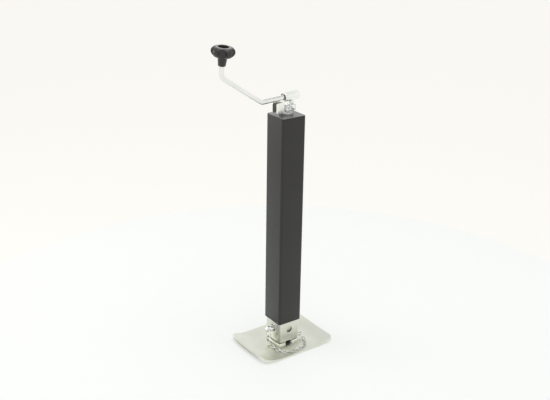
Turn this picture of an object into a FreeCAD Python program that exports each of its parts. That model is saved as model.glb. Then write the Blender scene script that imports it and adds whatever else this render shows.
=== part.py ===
import FreeCAD
import Part
import math
import os

# Drop leg trailer jack. Millimetres, +Z up, origin under the middle of the foot plate.
V = FreeCAD.Vector
X_AXIS = V(1, 0, 0)
Y_AXIS = V(0, 1, 0)
Z_AXIS = V(0, 0, 1)

# Square tubes, from the inside out
leg_size = 53.5
leg_wall = 3.0
leg_corner = 4.5
leg_length = 430.0
leg_clearance = 0.4
ram_wall = 3.0
ram_corner = 5.0
ram_clearance = 0.35
tube_wall = 3.0
tube_corner = 6.0
tube_length = 536.0

# Foot
foot_length = 212.0
foot_width = 158.0
foot_thickness = 5.0
foot_corner = 9.0
foot_flange = 3.0
foot_bend_radius = 135.0
foot_bend_angle = 20.0
weld_leg = 6.0
weld_height = 6.0
drain_width = 16.0
drain_rise = 2.5

# How far each tube ends above the piece inside it, and the ram's top below the screw's collar
ram_standoff = 9.0
tube_standoff = 54.0
ram_top_gap = 3.3

# Pull pin and its holes
pin_diameter = 15.9
pin_hole_clearance = 0.4
pin_height = 32.0
pin_overhang = 6.0
pin_chamfer = 2.0
pin_neck = 2.0
pin_head_length = 20.0
pin_head_thickness = 6.4
pin_eye_diameter = 7.0
pin_eye_edge = 7.5
leg_hole_count = 7
leg_hole_pitch = 57.15
ring_wire = 3.0
ring_mean_radius = 10.5
ring_slack = 0.8

# Chain
link_wire = 2.0
link_inner_length = 10.4
link_inner_width = 4.6
chain_pitch = 9.9
link_tilt = 45.0
chain_margin = 10.0
chain_side_gap = 14.0
chain_lift = 0.3
anchor_wire = 3.0
anchor_mean_radius = 4.5
anchor_height = 7.0
anchor_offset = 24.0

# Cap and thrust bearing
cap_thickness = 4.0
cap_edge = 1.2
boss_diameter = 36.0
boss_height = 3.0
boss_round = 2.0
bushing_wall = 3.0
bushing_recess = 0.5
race_outer = 44.0
race_thickness = 3.0
ball_diameter = 5.5
ball_count = 12
ball_clearance = 0.1
cage_thickness = 2.0
cage_wall = 2.0
cage_pocket_clearance = 0.2
washer_outer = 27.0
washer_thickness = 1.5
head_gap = 0.3

# Screw and nut
running = 0.1
seat = 0.05
journal_diameter = 16.0
stub_diameter = 10.0
stub_height = 21.5
collar_diameter = 34.0
collar_thickness = 6.0
screw_diameter = 19.0
screw_length = 381.0
screw_chamfer = 1.5
stop_pin_diameter = 5.0
stop_pin_length = 24.0
stop_pin_edge = 6.0
nut_plate_thickness = 6.0
nut_plate_fit = 0.1
nut_flats = 32.0
nut_height = 30.0

# Head, measured from the tube's axis towards the knob and up from the cap
head_angle = 188.0
saddle_thickness = 2.5
saddle_gap = 13.2
saddle_near = 14.0
saddle_reach = 38.0
saddle_ear_bottom = 8.0
saddle_ear_top = 33.0
saddle_web_top = 38.0
saddle_round = 4.0
yoke_width = 16.6
yoke_front = 9.5
yoke_back = 7.3
yoke_hump_height = 13.0
yoke_hump_radius = 8.2
pivot_back = 15.0
pivot_height = 16.0
ear_radius = 8.2
tongue_thickness = 8.0
tongue_clearance = 0.3
tongue_radius = 7.3
fold_pin_diameter = 7.8
fold_pin_head = 12.5
fold_pin_head_height = 2.8
yoke_pin_diameter = 5.0
yoke_pin_height = 15.5

# Tee and crank rod
rod_diameter = 12.0
sleeve_outer = 22.0
sleeve_height = 42.0
sleeve_front = 11.0
sleeve_length = 44.0
sleeve_mouth = 18.4
sleeve_mouth_depth = 5.0
stem_diameter = 15.0
stem_top = 18.5
stem_shoulder = 10.6
saddle_rest_gap = 0.3
rod_tail = 5.4
rod_run = 80.0
rod_first_radius = 22.0
arm_reach = 206.2
arm_rise = 80.5
rod_second_radius = 20.0
stub_lean = 1.0
grip_stub = 25.4
crank_roll = 7.0
spindle_diameter = 10.0
clip_outer = 17.0
clip_thickness = 1.2
clip_gap = 0.3

# Knob
knob_diameter = 52.8
knob_height = 41.0
knob_stem_height = 18.8
knob_stem_lower = 17.0
knob_stem_upper = 21.0
knob_lobes = 5
knob_turn = 46.5
knob_flute_radius = 10.0
knob_flute_depth = 5.0
knob_flute_round = 3.0
knob_recess = 24.5
knob_recess_depth = 10.0
knob_gap = 0.3
push_nut_diameter = 17.0
push_nut_height = 4.0
spindle_below_nut = 1.0

# Sizes that follow
ram_size = leg_size + 2 * leg_clearance + 2 * ram_wall
tube_size = ram_size + 2 * ram_clearance + 2 * tube_wall
leg_bottom = foot_thickness
ram_bottom = foot_thickness + ram_standoff
tube_bottom = ram_bottom + tube_standoff
tube_top = tube_bottom + tube_length
cap_top = tube_top + cap_thickness
pin_z = ram_bottom + pin_height
pin_hole = pin_diameter + 2 * pin_hole_clearance
pin_end_x = -ram_size / 2 - pin_neck - pin_head_length
eye_x = pin_end_x + pin_eye_edge
ring_centre_z = pin_z - pin_eye_diameter / 2 + ring_slack + ring_wire / 2 - ring_mean_radius
ring_bottom_z = ring_centre_z - ring_mean_radius
upper_race_z = tube_top - race_thickness
ball_z = upper_race_z - ball_clearance - ball_diameter / 2
lower_race_z = ball_z - ball_clearance - ball_diameter / 2 - race_thickness
collar_z = lower_race_z - collar_thickness
ram_top = collar_z - ram_top_gap
screw_end_z = collar_z - screw_length
journal_bore = journal_diameter + 2 * running
ball_circle = (race_outer + journal_diameter) / 4
boss_top = cap_top + boss_height
shoulder_z = boss_top + washer_thickness + head_gap
yoke_z = shoulder_z + saddle_thickness
sleeve_bore = rod_diameter + 2 * running
anchor_x = ram_size / 2 + anchor_mean_radius
anchor_z = ram_bottom + anchor_height


def box(x0, x1, y0, y1, z0, z1):
    return Part.makeBox(x1 - x0, y1 - y0, z1 - z0, V(x0, y0, z0))


def rod(diameter, start, end):
    path = end - start
    return Part.makeCylinder(diameter / 2, path.Length, start, path)


def ring(outer, bore, z0, z1):
    body = rod(outer, V(0, 0, z0), V(0, 0, z1))
    return body.cut(rod(bore, V(0, 0, z0 - 1), V(0, 0, z1 + 1)))


def rounded_wire(length, width, radius, z):
    x = length / 2
    y = width / 2
    k = radius * (1 - math.sqrt(0.5))
    edges = []
    for sx, sy in ((1, 1), (-1, 1), (-1, -1), (1, -1)):
        beside = V(sx * x, sy * (y - radius), z)
        above = V(sx * (x - radius), sy * y, z)
        middle = V(sx * (x - k), sy * (y - k), z)
        ends = (beside, above) if sx * sy > 0 else (above, beside)
        edges.append(Part.Arc(ends[0], middle, ends[1]).toShape())
    corners = list(edges)
    for first, second in zip(corners, corners[1:] + corners[:1]):
        start = first.valueAt(first.LastParameter)
        edges.append(Part.makeLine(start, second.valueAt(second.FirstParameter)))
    return Part.Wire(Part.__sortEdges__(edges))


def rounded_prism(length, width, radius, z0, z1):
    face = Part.Face(rounded_wire(length, width, radius, z0))
    return face.extrude(V(0, 0, z1 - z0))


def square_tube(size, wall, corner, z0, length):
    outside = rounded_prism(size, size, corner, z0, z0 + length)
    inside = rounded_prism(size - 2 * wall, size - 2 * wall, corner - wall, z0 - 1, z0 + length + 1)
    return outside.cut(inside)


def revolved(points):
    """Turns a closed outline of (radius, height) points about Z."""
    wire = Part.makePolygon([V(r, 0, z) for r, z in points + points[:1]])
    return Part.Face(wire).revolve(V(0, 0, 0), Z_AXIS, 360)


def in_head(shape):
    """Places a shape drawn with the knob towards +X and the cap's top at zero."""
    shape = shape.copy()
    shape.rotate(V(0, 0, 0), Z_AXIS, head_angle)
    shape.translate(V(0, 0, cap_top))
    return shape


def in_sleeve(shape):
    """Places a shape of the crank, which rests rolled a little in the sleeve."""
    shape = shape.copy()
    shape.rotate(V(0, 0, sleeve_height), X_AXIS, -crank_roll)
    return in_head(shape)


def pin_cut(size, z, along):
    """A hole for the pull pin through both walls of a tube."""
    reach = along * size
    return rod(pin_hole, V(0, 0, z) - reach, V(0, 0, z) + reach)


def make_foot_plate():
    angle = math.radians(foot_bend_angle)
    turn = V(math.cos(angle), 0, math.sin(angle))
    inner_radius = foot_bend_radius - foot_thickness
    bend = foot_length / 2 - foot_bend_radius * math.sin(angle) - foot_flange * math.cos(angle)

    def at(radius, share):
        a = angle * share
        return V(bend + radius * math.sin(a), 0, foot_bend_radius - radius * math.cos(a))

    low_end = at(foot_bend_radius, 1) + turn * foot_flange
    high_end = at(inner_radius, 1) + turn * foot_flange
    edges = [
        Part.makeLine(V(0, 0, 0), at(foot_bend_radius, 0)),
        Part.Arc(at(foot_bend_radius, 0), at(foot_bend_radius, 0.5), at(foot_bend_radius, 1)).toShape(),
        Part.makeLine(at(foot_bend_radius, 1), low_end),
        Part.makeLine(low_end, high_end),
        Part.makeLine(high_end, at(inner_radius, 1)),
        Part.Arc(at(inner_radius, 1), at(inner_radius, 0.5), at(inner_radius, 0)).toShape(),
        Part.makeLine(at(inner_radius, 0), V(0, 0, foot_thickness)),
        Part.makeLine(V(0, 0, foot_thickness), V(0, 0, 0)),
    ]
    half = Part.Face(Part.Wire(edges)).extrude(V(0, foot_width, 0))
    half.translate(V(0, -foot_width / 2, 0))
    plate = half.fuse(half.mirror(V(0, 0, 0), X_AXIS)).removeSplitter()
    outline = rounded_prism(foot_length, foot_width, foot_corner, -1, foot_bend_radius)
    return plate.common(outline)


def drain_cut(size):
    """The round-topped drain slot in the leg's front and back."""
    centre_z = leg_bottom + drain_rise
    half = drain_width / 2
    slot = rod(drain_width, V(0, -size, centre_z), V(0, size, centre_z))
    return slot.fuse(box(-half, half, -size, size, leg_bottom - 1, centre_z))


def make_drop_leg():
    leg = square_tube(leg_size, leg_wall, leg_corner, leg_bottom, leg_length)
    for number in range(leg_hole_count):
        leg = leg.cut(pin_cut(leg_size, pin_z + number * leg_hole_pitch, X_AXIS))
    return leg.cut(drain_cut(leg_size))


def make_foot_weld():
    wide = leg_size + 2 * weld_leg
    middle = leg_size + 1.25 * weld_leg
    top = leg_bottom + weld_height
    sections = [
        rounded_wire(wide, wide, leg_corner + weld_leg, leg_bottom),
        rounded_wire(middle, middle, leg_corner + weld_leg, leg_bottom + weld_height * 0.55),
        rounded_wire(leg_size + 1, leg_size + 1, leg_corner + 0.5, top),
    ]
    bead = Part.makeLoft(sections, True, True)
    bead = bead.cut(rounded_prism(leg_size, leg_size, leg_corner, leg_bottom - 1, top + 1))
    return bead.cut(drain_cut(wide))


def make_ram_tube():
    ram = square_tube(ram_size, ram_wall, ram_corner, ram_bottom, ram_top - ram_bottom)
    for along in (X_AXIS, Y_AXIS):
        ram = ram.cut(pin_cut(ram_size, pin_z, along))
    return ram


def make_nut_plate():
    size = ram_size - 2 * ram_wall - 2 * nut_plate_fit
    corner = ram_corner - ram_wall
    plate = rounded_prism(size, size, corner, ram_top - nut_plate_thickness, ram_top)
    return plate.cut(rod(screw_diameter + 3, V(0, 0, 0), V(0, 0, ram_top + 1)))


def make_lead_nut():
    top = ram_top - nut_plate_thickness
    hexagon = [V(nut_flats / math.sqrt(3), 0, 0)]
    for number in range(1, 7):
        angle = math.radians(60 * number)
        hexagon.append(V(math.cos(angle), math.sin(angle), 0) * (nut_flats / math.sqrt(3)))
    nut = Part.Face(Part.makePolygon(hexagon)).extrude(V(0, 0, nut_height))
    nut.translate(V(0, 0, top - nut_height))
    return nut.cut(rod(screw_diameter + 2 * running, V(0, 0, top - nut_height - 1), V(0, 0, top + 1)))


def make_chain_anchor():
    eye = Part.makeTorus(anchor_mean_radius, anchor_wire / 2, V(anchor_x, -anchor_offset, anchor_z))
    inside = box(0, ram_size / 2, -ram_size, ram_size, 0, ram_top)
    return eye.cut(inside)


def make_outer_tube():
    return square_tube(tube_size, tube_wall, tube_corner, tube_bottom, tube_length)


def make_top_cap():
    plate = rounded_prism(tube_size, tube_size, tube_corner, tube_top, cap_top)
    rim = [edge for edge in plate.Edges if edge.BoundBox.ZMin > cap_top - 0.01]
    plate = plate.makeFillet(cap_edge, rim)
    boss = rod(boss_diameter, V(0, 0, tube_top), V(0, 0, boss_top))
    brim = [edge for edge in boss.Edges if edge.BoundBox.ZMin > boss_top - 0.01]
    boss = boss.makeFillet(boss_round, brim)
    bore = rod(journal_bore + 2 * bushing_wall, V(0, 0, tube_top - 1), V(0, 0, boss_top + 1))
    return plate.fuse(boss).cut(bore)


def make_cap_bushing():
    return ring(journal_bore + 2 * bushing_wall, journal_bore, tube_top, boss_top - bushing_recess)


def make_upper_race():
    return ring(race_outer, journal_diameter + 2, upper_race_z, tube_top)


def make_lower_race():
    return ring(race_outer, journal_bore, lower_race_z, lower_race_z + race_thickness)


def ball_places():
    for number in range(ball_count):
        angle = math.radians(360 * number / ball_count)
        yield V(ball_circle * math.cos(angle), ball_circle * math.sin(angle), ball_z)


def make_thrust_balls():
    return Part.makeCompound([Part.makeSphere(ball_diameter / 2, place) for place in ball_places()])


def make_ball_cage():
    reach = ball_diameter + 2 * cage_wall
    low = ball_z - cage_thickness / 2
    cage = ring(2 * ball_circle + reach, 2 * ball_circle - reach, low, low + cage_thickness)
    pocket = ball_diameter + 2 * cage_pocket_clearance
    for place in ball_places():
        cage = cage.cut(rod(pocket, place - Z_AXIS * pocket, place + Z_AXIS * pocket))
    return cage


def make_thrust_washer():
    return ring(washer_outer, journal_bore, boss_top, boss_top + washer_thickness)


def make_lead_screw():
    top = cap_top + stub_height
    screw = revolved([
        (0, top),
        (stub_diameter / 2 - 1, top),
        (stub_diameter / 2, top - 1),
        (stub_diameter / 2, shoulder_z),
        (journal_diameter / 2, shoulder_z),
        (journal_diameter / 2, lower_race_z),
        (collar_diameter / 2, lower_race_z),
        (collar_diameter / 2, collar_z),
        (screw_diameter / 2, collar_z),
        (screw_diameter / 2, screw_end_z + screw_chamfer),
        (screw_diameter / 2 - screw_chamfer, screw_end_z),
        (0, screw_end_z),
    ])
    screw = screw.cut(stop_pin(stop_pin_diameter + 2 * seat, screw_diameter))
    return screw.cut(in_head(yoke_cross(yoke_pin_diameter + 2 * seat)))


def stop_pin(diameter, length):
    z = screw_end_z + stop_pin_edge
    return rod(diameter, V(-length / 2, 0, z), V(length / 2, 0, z))


def yoke_cross(diameter):
    half = yoke_width / 2
    return rod(diameter, V(0, -half, yoke_pin_height), V(0, half, yoke_pin_height))


def make_screw_stop_pin():
    return stop_pin(stop_pin_diameter, stop_pin_length)


def make_yoke_pin():
    pin = yoke_cross(yoke_pin_diameter)
    return in_head(pin.cut(yoke_cross(yoke_pin_diameter / 2)))


def make_head_yoke():
    half = yoke_width / 2
    low = yoke_z - cap_top
    ear_end = -pivot_back - ear_radius
    body = box(ear_end, yoke_front, -half, half, low, yoke_hump_height)
    body = body.fuse(box(ear_end, ear_end + 2 * ear_radius, -half, half, low, pivot_height))
    hump = yoke_front - yoke_hump_radius
    for x, z, radius in ((hump, yoke_hump_height, yoke_hump_radius), (-pivot_back, pivot_height, ear_radius)):
        body = body.fuse(rod(2 * radius, V(x, -half, z), V(x, half, z)))
    body = body.cut(box(-100, 100, -half - 1, half + 1, low - 50, low))
    slot = tongue_thickness / 2 + tongue_clearance
    body = body.cut(box(ear_end - 1, -yoke_back, -slot, slot, low - 1, pivot_height + ear_radius + 1))
    body = body.cut(rod(stub_diameter + 2 * seat, V(0, 0, 0), V(0, 0, stub_height + 5)))
    body = body.cut(yoke_cross(yoke_pin_diameter + 2 * seat))
    body = body.cut(pivot_rod(fold_pin_diameter + 2 * seat, yoke_width))
    return in_head(body.removeSplitter())


def pivot_rod(diameter, length):
    return rod(diameter, V(-pivot_back, -length / 2, pivot_height), V(-pivot_back, length / 2, pivot_height))


def make_fold_pin():
    length = yoke_width + 2 * fold_pin_head_height
    pin = pivot_rod(fold_pin_diameter, length)
    for side in (-1, 1):
        start = V(-pivot_back, side * yoke_width / 2, pivot_height)
        head = rod(fold_pin_head, start, start + V(0, side * fold_pin_head_height, 0))
        rim = [edge for edge in head.Edges if abs(edge.CenterOfMass.y) > yoke_width / 2 + 0.01]
        rim = [edge for edge in rim if edge.BoundBox.YLength < 0.01]
        pin = pin.fuse(head.makeFillet(fold_pin_head_height * 0.6, rim))
    return in_head(pin.removeSplitter())


def make_rod_saddle():
    half = saddle_gap / 2 + saddle_thickness
    low = shoulder_z - cap_top
    long = 2 * (saddle_reach - saddle_near)
    outer = rounded_prism(long, 2 * half, saddle_round, low, saddle_web_top)
    inner_round = saddle_round - saddle_thickness
    inner = rounded_prism(long - 2 * saddle_thickness, saddle_gap, inner_round, low - 1, saddle_web_top + 1)
    channel = outer.cut(inner)
    channel = channel.cut(box(0, long, -half - 1, half + 1, low - 1, saddle_web_top + 1))
    channel.translate(V(saddle_reach, 0, 0))
    web_end = saddle_near + saddle_round
    for z0, z1 in ((low - 1, saddle_ear_bottom), (saddle_ear_top, saddle_web_top + 1)):
        channel = channel.cut(box(web_end, saddle_reach + 1, -half - 1, half + 1, z0, z1))
    tips = [edge for edge in channel.Edges if edge.BoundBox.XMin > saddle_reach - 0.01]
    tips = [edge for edge in tips if edge.BoundBox.ZLength < 0.01]
    channel = channel.makeFillet(saddle_round, tips)
    strap_half = half - saddle_round
    strap = box(-yoke_back, saddle_near + 1, -strap_half, strap_half, low, low + saddle_thickness)
    bracket = channel.fuse(strap)
    bracket = bracket.cut(rod(stub_diameter + 2 * seat, V(0, 0, 0), V(0, 0, stub_height)))
    groove = rod_diameter + 2 * saddle_rest_gap
    bracket = bracket.cut(rod(groove, V(0, 0, sleeve_height), V(saddle_reach, 0, sleeve_height)))
    return in_head(bracket.removeSplitter())


def make_tee_head():
    shoulder = pivot_height + stem_shoulder
    half = tongue_thickness / 2
    tail = sleeve_front - sleeve_length
    tongue = rod(2 * tongue_radius, V(-pivot_back, -half, pivot_height), V(-pivot_back, half, pivot_height))
    sides = (-pivot_back - tongue_radius, -pivot_back + tongue_radius)
    tongue = tongue.fuse(box(sides[0], sides[1], -half, half, pivot_height, shoulder + 1))
    rise = sleeve_height - shoulder
    stem = Part.makeCone(stem_diameter / 2, stem_top / 2, rise, V(-pivot_back, 0, shoulder))
    sleeve = rod(sleeve_outer, V(tail, 0, sleeve_height), V(sleeve_front, 0, sleeve_height))
    tee = sleeve.fuse([stem, tongue])
    tee = tee.cut(rod(sleeve_bore, V(tail - 1, 0, sleeve_height), V(sleeve_front + 1, 0, sleeve_height)))
    for start, end in ((tail - 1, tail + sleeve_mouth_depth), (sleeve_front - sleeve_mouth_depth, sleeve_front + 1)):
        tee = tee.cut(rod(sleeve_mouth, V(start, 0, sleeve_height), V(end, 0, sleeve_height)))
    tee = tee.cut(pivot_rod(fold_pin_diameter + 2 * running, yoke_width))
    return in_head(tee.removeSplitter())


def stub_direction():
    lean = math.radians(stub_lean)
    return V(-math.sin(lean), 0, math.cos(lean))


def corner_points(before, corner, after, radius):
    """Start, middle and end of an arc of a radius that rounds a corner."""
    first = (before - corner).normalize()
    second = (after - corner).normalize()
    half = first.getAngle(second) / 2
    middle_way = (first + second).normalize()
    centre = corner + middle_way * (radius / math.sin(half))
    reach = radius / math.tan(half)
    return corner + first * reach, centre - middle_way * radius, corner + second * reach


def rod_corners():
    tail = V(sleeve_front - sleeve_length - rod_tail, 0, sleeve_height)
    first = V(rod_run, 0, sleeve_height)
    second = V(arm_reach, 0, sleeve_height + arm_rise)
    return tail, first, second, second + stub_direction() * grip_stub


def nut_seat():
    """Height of the push nut's underside above the rod's upright end."""
    return knob_gap + knob_height - knob_recess_depth + knob_gap


def make_crank_rod():
    tail, first, second, end = rod_corners()
    low = corner_points(tail, first, second, rod_first_radius)
    high = corner_points(first, second, end, rod_second_radius)
    path = Part.Wire([
        Part.makeLine(tail, low[0]),
        Part.Arc(*low).toShape(),
        Part.makeLine(low[2], high[0]),
        Part.Arc(*high).toShape(),
        Part.makeLine(high[2], end),
    ])
    section = Part.Wire(Part.makeCircle(rod_diameter / 2, tail, X_AXIS))
    bar = path.makePipeShell([section], True, False)
    spindle = nut_seat() + push_nut_height - spindle_below_nut
    return in_sleeve(bar.fuse(rod(spindle_diameter, end, end + stub_direction() * spindle)))


def make_rod_clips():
    """Retaining rings on the rod, one in each mouth of the sleeve."""
    inset = sleeve_mouth_depth - clip_gap
    tail = sleeve_front - sleeve_length
    clips = []
    for start in (sleeve_front - inset, tail + inset - clip_thickness):
        clip = rod(clip_outer, V(start, 0, sleeve_height), V(start + clip_thickness, 0, sleeve_height))
        bore = rod(rod_diameter + 2 * seat, V(start - 1, 0, sleeve_height), V(start + 3, 0, sleeve_height))
        clips.append(clip.cut(bore))
    return in_sleeve(Part.makeCompound(clips))


def on_stub(shape, distance):
    """Stands a shape drawn about Z on the crank's upright end."""
    shape = shape.copy()
    shape.rotate(V(0, 0, 0), Y_AXIS, -stub_lean)
    shape.translate(rod_corners()[3] + stub_direction() * distance)
    return in_sleeve(shape)


def knob_profile():
    """The knob's half section: stem, domed underside, rim, crown and recess."""
    rim = knob_diameter / 2
    bore = spindle_diameter / 2 + running
    stem = knob_stem_height
    body = knob_height - stem
    under = V(knob_stem_upper / 2 + 2, 0, stem + 1)
    waist = V(rim, 0, stem + 0.5 * body)
    crown = V(0.62 * rim, 0, knob_height)
    points = [V(bore, 0, 0), V(knob_stem_lower / 2, 0, 0), V(knob_stem_upper / 2, 0, stem), under]
    edges = [Part.makeLine(a, b) for a, b in zip(points, points[1:])]
    edges.append(Part.Arc(under, V(0.88 * rim, 0, stem + 0.16 * body), waist).toShape())
    edges.append(Part.Arc(waist, V(0.9 * rim, 0, knob_height - 0.12 * body), crown).toShape())
    floor = knob_height - knob_recess_depth
    wall = knob_recess / 2
    recess = [crown, V(wall, 0, knob_height), V(wall, 0, floor), V(bore, 0, floor), points[0]]
    edges += [Part.makeLine(a, b) for a, b in zip(recess, recess[1:])]
    return Part.Wire(edges)


def make_knob():
    turned = Part.Face(knob_profile()).revolve(V(0, 0, 0), Z_AXIS, 360)
    lobed = rod(knob_diameter + 2, V(0, 0, -1), V(0, 0, knob_height + 1))
    reach = knob_diameter / 2 + knob_flute_radius - knob_flute_depth
    for number in range(knob_lobes):
        angle = math.radians(knob_turn + 360 * number / knob_lobes)
        centre = V(reach * math.cos(angle), reach * math.sin(angle), 0)
        flute = rod(2 * knob_flute_radius, centre - Z_AXIS * 2, centre + Z_AXIS * (knob_height + 2))
        lobed = lobed.cut(flute)
    upright = [edge for edge in lobed.Edges if edge.BoundBox.ZLength > knob_height]
    upright = [edge for edge in upright if edge.BoundBox.XLength < 0.01 and edge.BoundBox.YLength < 0.01]
    sharp = [edge for edge in upright if len(lobed.ancestorsOfType(edge, Part.Face)) == 2]
    lobed = lobed.makeFillet(knob_flute_round, sharp)
    return on_stub(turned.common(lobed), knob_gap)


def make_knob_push_nut():
    brim = push_nut_diameter / 2
    bore = spindle_diameter / 2 + seat
    cap = revolved([
        (bore, 0),
        (brim, 0),
        (brim, 1),
        (0.7 * brim, 1.5),
        (0.62 * brim, push_nut_height),
        (bore, push_nut_height),
    ])
    return on_stub(cap, nut_seat())


def make_pull_pin():
    tip = ram_size / 2 + pin_overhang
    radius = pin_diameter / 2
    neck = -ram_size / 2 - pin_neck
    shank = rod(pin_diameter, V(neck - 1, 0, pin_z), V(tip, 0, pin_z))
    end = [edge for edge in shank.Edges if edge.BoundBox.XMin > tip - 0.01]
    shank = shank.makeChamfer(pin_chamfer, end)
    side = pin_head_thickness / 2
    head = box(pin_end_x + radius, neck, -side, side, pin_z - radius, pin_z + radius)
    start = V(pin_end_x + radius, -side, pin_z)
    head = head.fuse(rod(pin_diameter, start, start + V(0, pin_head_thickness, 0)))
    eye = V(eye_x, 0, pin_z)
    head = head.cut(rod(pin_eye_diameter, eye - Y_AXIS * radius, eye + Y_AXIS * radius))
    return shank.fuse(head).removeSplitter()


def make_pin_ring():
    return Part.makeTorus(ring_mean_radius, ring_wire / 2, V(eye_x, 0, ring_centre_z), X_AXIS)


def make_link():
    """One welded link, lying in XY with its length along X."""
    radius = (link_inner_width + link_wire) / 2
    half = link_inner_length / 2 + link_wire / 2 - radius
    corners = [V(-half, -radius, 0), V(half, -radius, 0), V(half, radius, 0), V(-half, radius, 0)]
    path = Part.Wire([
        Part.makeLine(corners[0], corners[1]),
        Part.Arc(corners[1], V(half + radius, 0, 0), corners[2]).toShape(),
        Part.makeLine(corners[2], corners[3]),
        Part.Arc(corners[3], V(-half - radius, 0, 0), corners[0]).toShape(),
    ])
    section = Part.Wire(Part.makeCircle(link_wire / 2, corners[0], X_AXIS))
    return path.makePipeShell([section], True, False)


def chain_route():
    """Points from the pin's ring down, round the front of the foot and up to the anchor."""
    tilted_half = (link_inner_width + link_wire) / 2 * math.sin(math.radians(link_tilt))
    lying = foot_thickness + chain_lift + tilted_half + link_wire / 2
    hang = ring_bottom_z + ring_wire / 2 + chain_lift
    lift = anchor_z + anchor_wire / 2 + chain_lift
    hook = anchor_x + anchor_mean_radius
    left = -ram_size / 2 - chain_side_gap
    right = ram_size / 2 + chain_side_gap
    front = -foot_width / 2 + chain_margin
    return [
        V(eye_x, 0, hang),
        V(eye_x, 0, hang - chain_pitch),
        V(left - 1, -7, lying + 1),
        V(left - 2, -19, lying),
        V(left - 1, -34, lying),
        V(left, front + 17, lying),
        V(left + 6, front + 6, lying),
        V(left + 16, front + 1, lying),
        V(-10, front, lying),
        V(8, front + 1, lying),
        V(right - 20, front + 7, lying),
        V(right - 8, front + 17, lying),
        V(right - 2, front + 28, lying),
        V(hook + 3, -anchor_offset - 8, lying + 1),
        V(hook, -anchor_offset, lift - chain_pitch),
        V(hook, -anchor_offset, lift),
    ]


def make_pin_chain():
    curve = Part.BSplineCurve()
    curve.interpolate(chain_route())
    edge = curve.toShape()
    count = round(edge.Length / chain_pitch)
    if count % 2 == 0:
        count -= 1
    joints = edge.discretize(Number=count + 1)
    link = make_link()
    links = []
    for number, (start, end) in enumerate(zip(joints, joints[1:])):
        along = (end - start).normalize()
        upright = Z_AXIS - along * along.z
        if upright.Length < 0.2:
            upright = X_AXIS - along * along.x
        upright.normalize()
        side = upright.cross(along)
        tilt = math.radians(link_tilt if number % 2 else -link_tilt)
        if number in (0, count - 1):
            side = X_AXIS - along * along.x
            side.normalize()
            upright = along.cross(side)
            tilt = 0
        across = side * math.cos(tilt) + upright * math.sin(tilt)
        normal = along.cross(across)
        middle = (start + end) * 0.5
        frame = FreeCAD.Matrix(
            along.x, across.x, normal.x, middle.x,
            along.y, across.y, normal.y, middle.y,
            along.z, across.z, normal.z, middle.z,
            0, 0, 0, 1,
        )
        placed = link.copy()
        placed.Placement = FreeCAD.Placement(frame)
        links.append(placed)
    return Part.makeCompound(links)


def main():
    nodes = {
        "outer_tube": make_outer_tube,
        "top_cap": make_top_cap,
        "cap_bushing": make_cap_bushing,
        "upper_race": make_upper_race,
        "thrust_washer": make_thrust_washer,
        "lead_screw": make_lead_screw,
        "lower_race": make_lower_race,
        "ball_cage": make_ball_cage,
        "thrust_balls": make_thrust_balls,
        "screw_stop_pin": make_screw_stop_pin,
        "head_yoke": make_head_yoke,
        "yoke_pin": make_yoke_pin,
        "rod_saddle": make_rod_saddle,
        "fold_pin": make_fold_pin,
        "tee_head": make_tee_head,
        "crank_rod": make_crank_rod,
        "rod_clips": make_rod_clips,
        "knob": make_knob,
        "knob_push_nut": make_knob_push_nut,
        "ram_tube": make_ram_tube,
        "nut_plate": make_nut_plate,
        "lead_nut": make_lead_nut,
        "chain_anchor": make_chain_anchor,
        "pull_pin": make_pull_pin,
        "pin_ring": make_pin_ring,
        "pin_chain": make_pin_chain,
        "drop_leg": make_drop_leg,
        "foot_plate": make_foot_plate,
        "foot_weld": make_foot_weld,
    }
    os.makedirs("parts", exist_ok=True)
    for name, make in nodes.items():
        shape = make()
        print(name, len(shape.Solids), shape.isValid(), round(shape.Volume))
        shape.exportStep("parts/" + name + ".step")


main()
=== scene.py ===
"""Looks of a drop leg trailer jack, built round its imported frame.

Metres, +Z up, origin under the foot plate.
"""
import logging
import math
from collections.abc import Callable
from dataclasses import dataclass, replace
from enum import Enum
from functools import cache

import bpy
from mathutils import Matrix, Vector


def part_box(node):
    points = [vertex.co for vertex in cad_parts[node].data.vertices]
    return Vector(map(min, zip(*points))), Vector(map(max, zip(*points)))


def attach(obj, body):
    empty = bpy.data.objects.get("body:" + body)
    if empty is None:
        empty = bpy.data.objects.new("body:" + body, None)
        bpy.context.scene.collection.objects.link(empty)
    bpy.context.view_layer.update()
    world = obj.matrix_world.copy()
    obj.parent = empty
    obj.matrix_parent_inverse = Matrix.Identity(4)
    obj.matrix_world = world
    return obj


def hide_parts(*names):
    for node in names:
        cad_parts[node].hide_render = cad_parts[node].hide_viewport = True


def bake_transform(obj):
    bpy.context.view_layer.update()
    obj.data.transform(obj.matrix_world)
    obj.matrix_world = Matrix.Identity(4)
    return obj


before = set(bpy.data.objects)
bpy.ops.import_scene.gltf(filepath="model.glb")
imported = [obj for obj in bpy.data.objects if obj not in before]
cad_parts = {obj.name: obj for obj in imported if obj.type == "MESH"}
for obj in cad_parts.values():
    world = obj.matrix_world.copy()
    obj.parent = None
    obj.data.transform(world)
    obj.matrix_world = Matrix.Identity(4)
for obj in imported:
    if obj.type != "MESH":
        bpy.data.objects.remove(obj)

logging.basicConfig(level=logging.INFO, format="%(message)s")
log = logging.getLogger("jack")

MM = 0.001
TOUCH = 0.1 * MM  # play where places are compared
X_AXIS = Vector((1, 0, 0))
Y_AXIS = Vector((0, 1, 0))
Z_AXIS = Vector((0, 0, 1))
Piece = bpy.types.Object
Socket = bpy.types.NodeSocket
Place = Callable[[float, float], Vector]
Test = Callable[[Vector, Vector], bool]
Outline = list[tuple[float, float]]
Triple = tuple[float, float, float]


class Body(Enum):
    """The moving groups of the jack that carry pieces made here."""

    TUBE = "tube"
    SCREW = "screw"
    TEE = "tee"
    CRANK = "crank"
    GRIP = "grip"
    RAM = "ram"
    PIN = "pin"
    FOOT = "foot"


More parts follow.
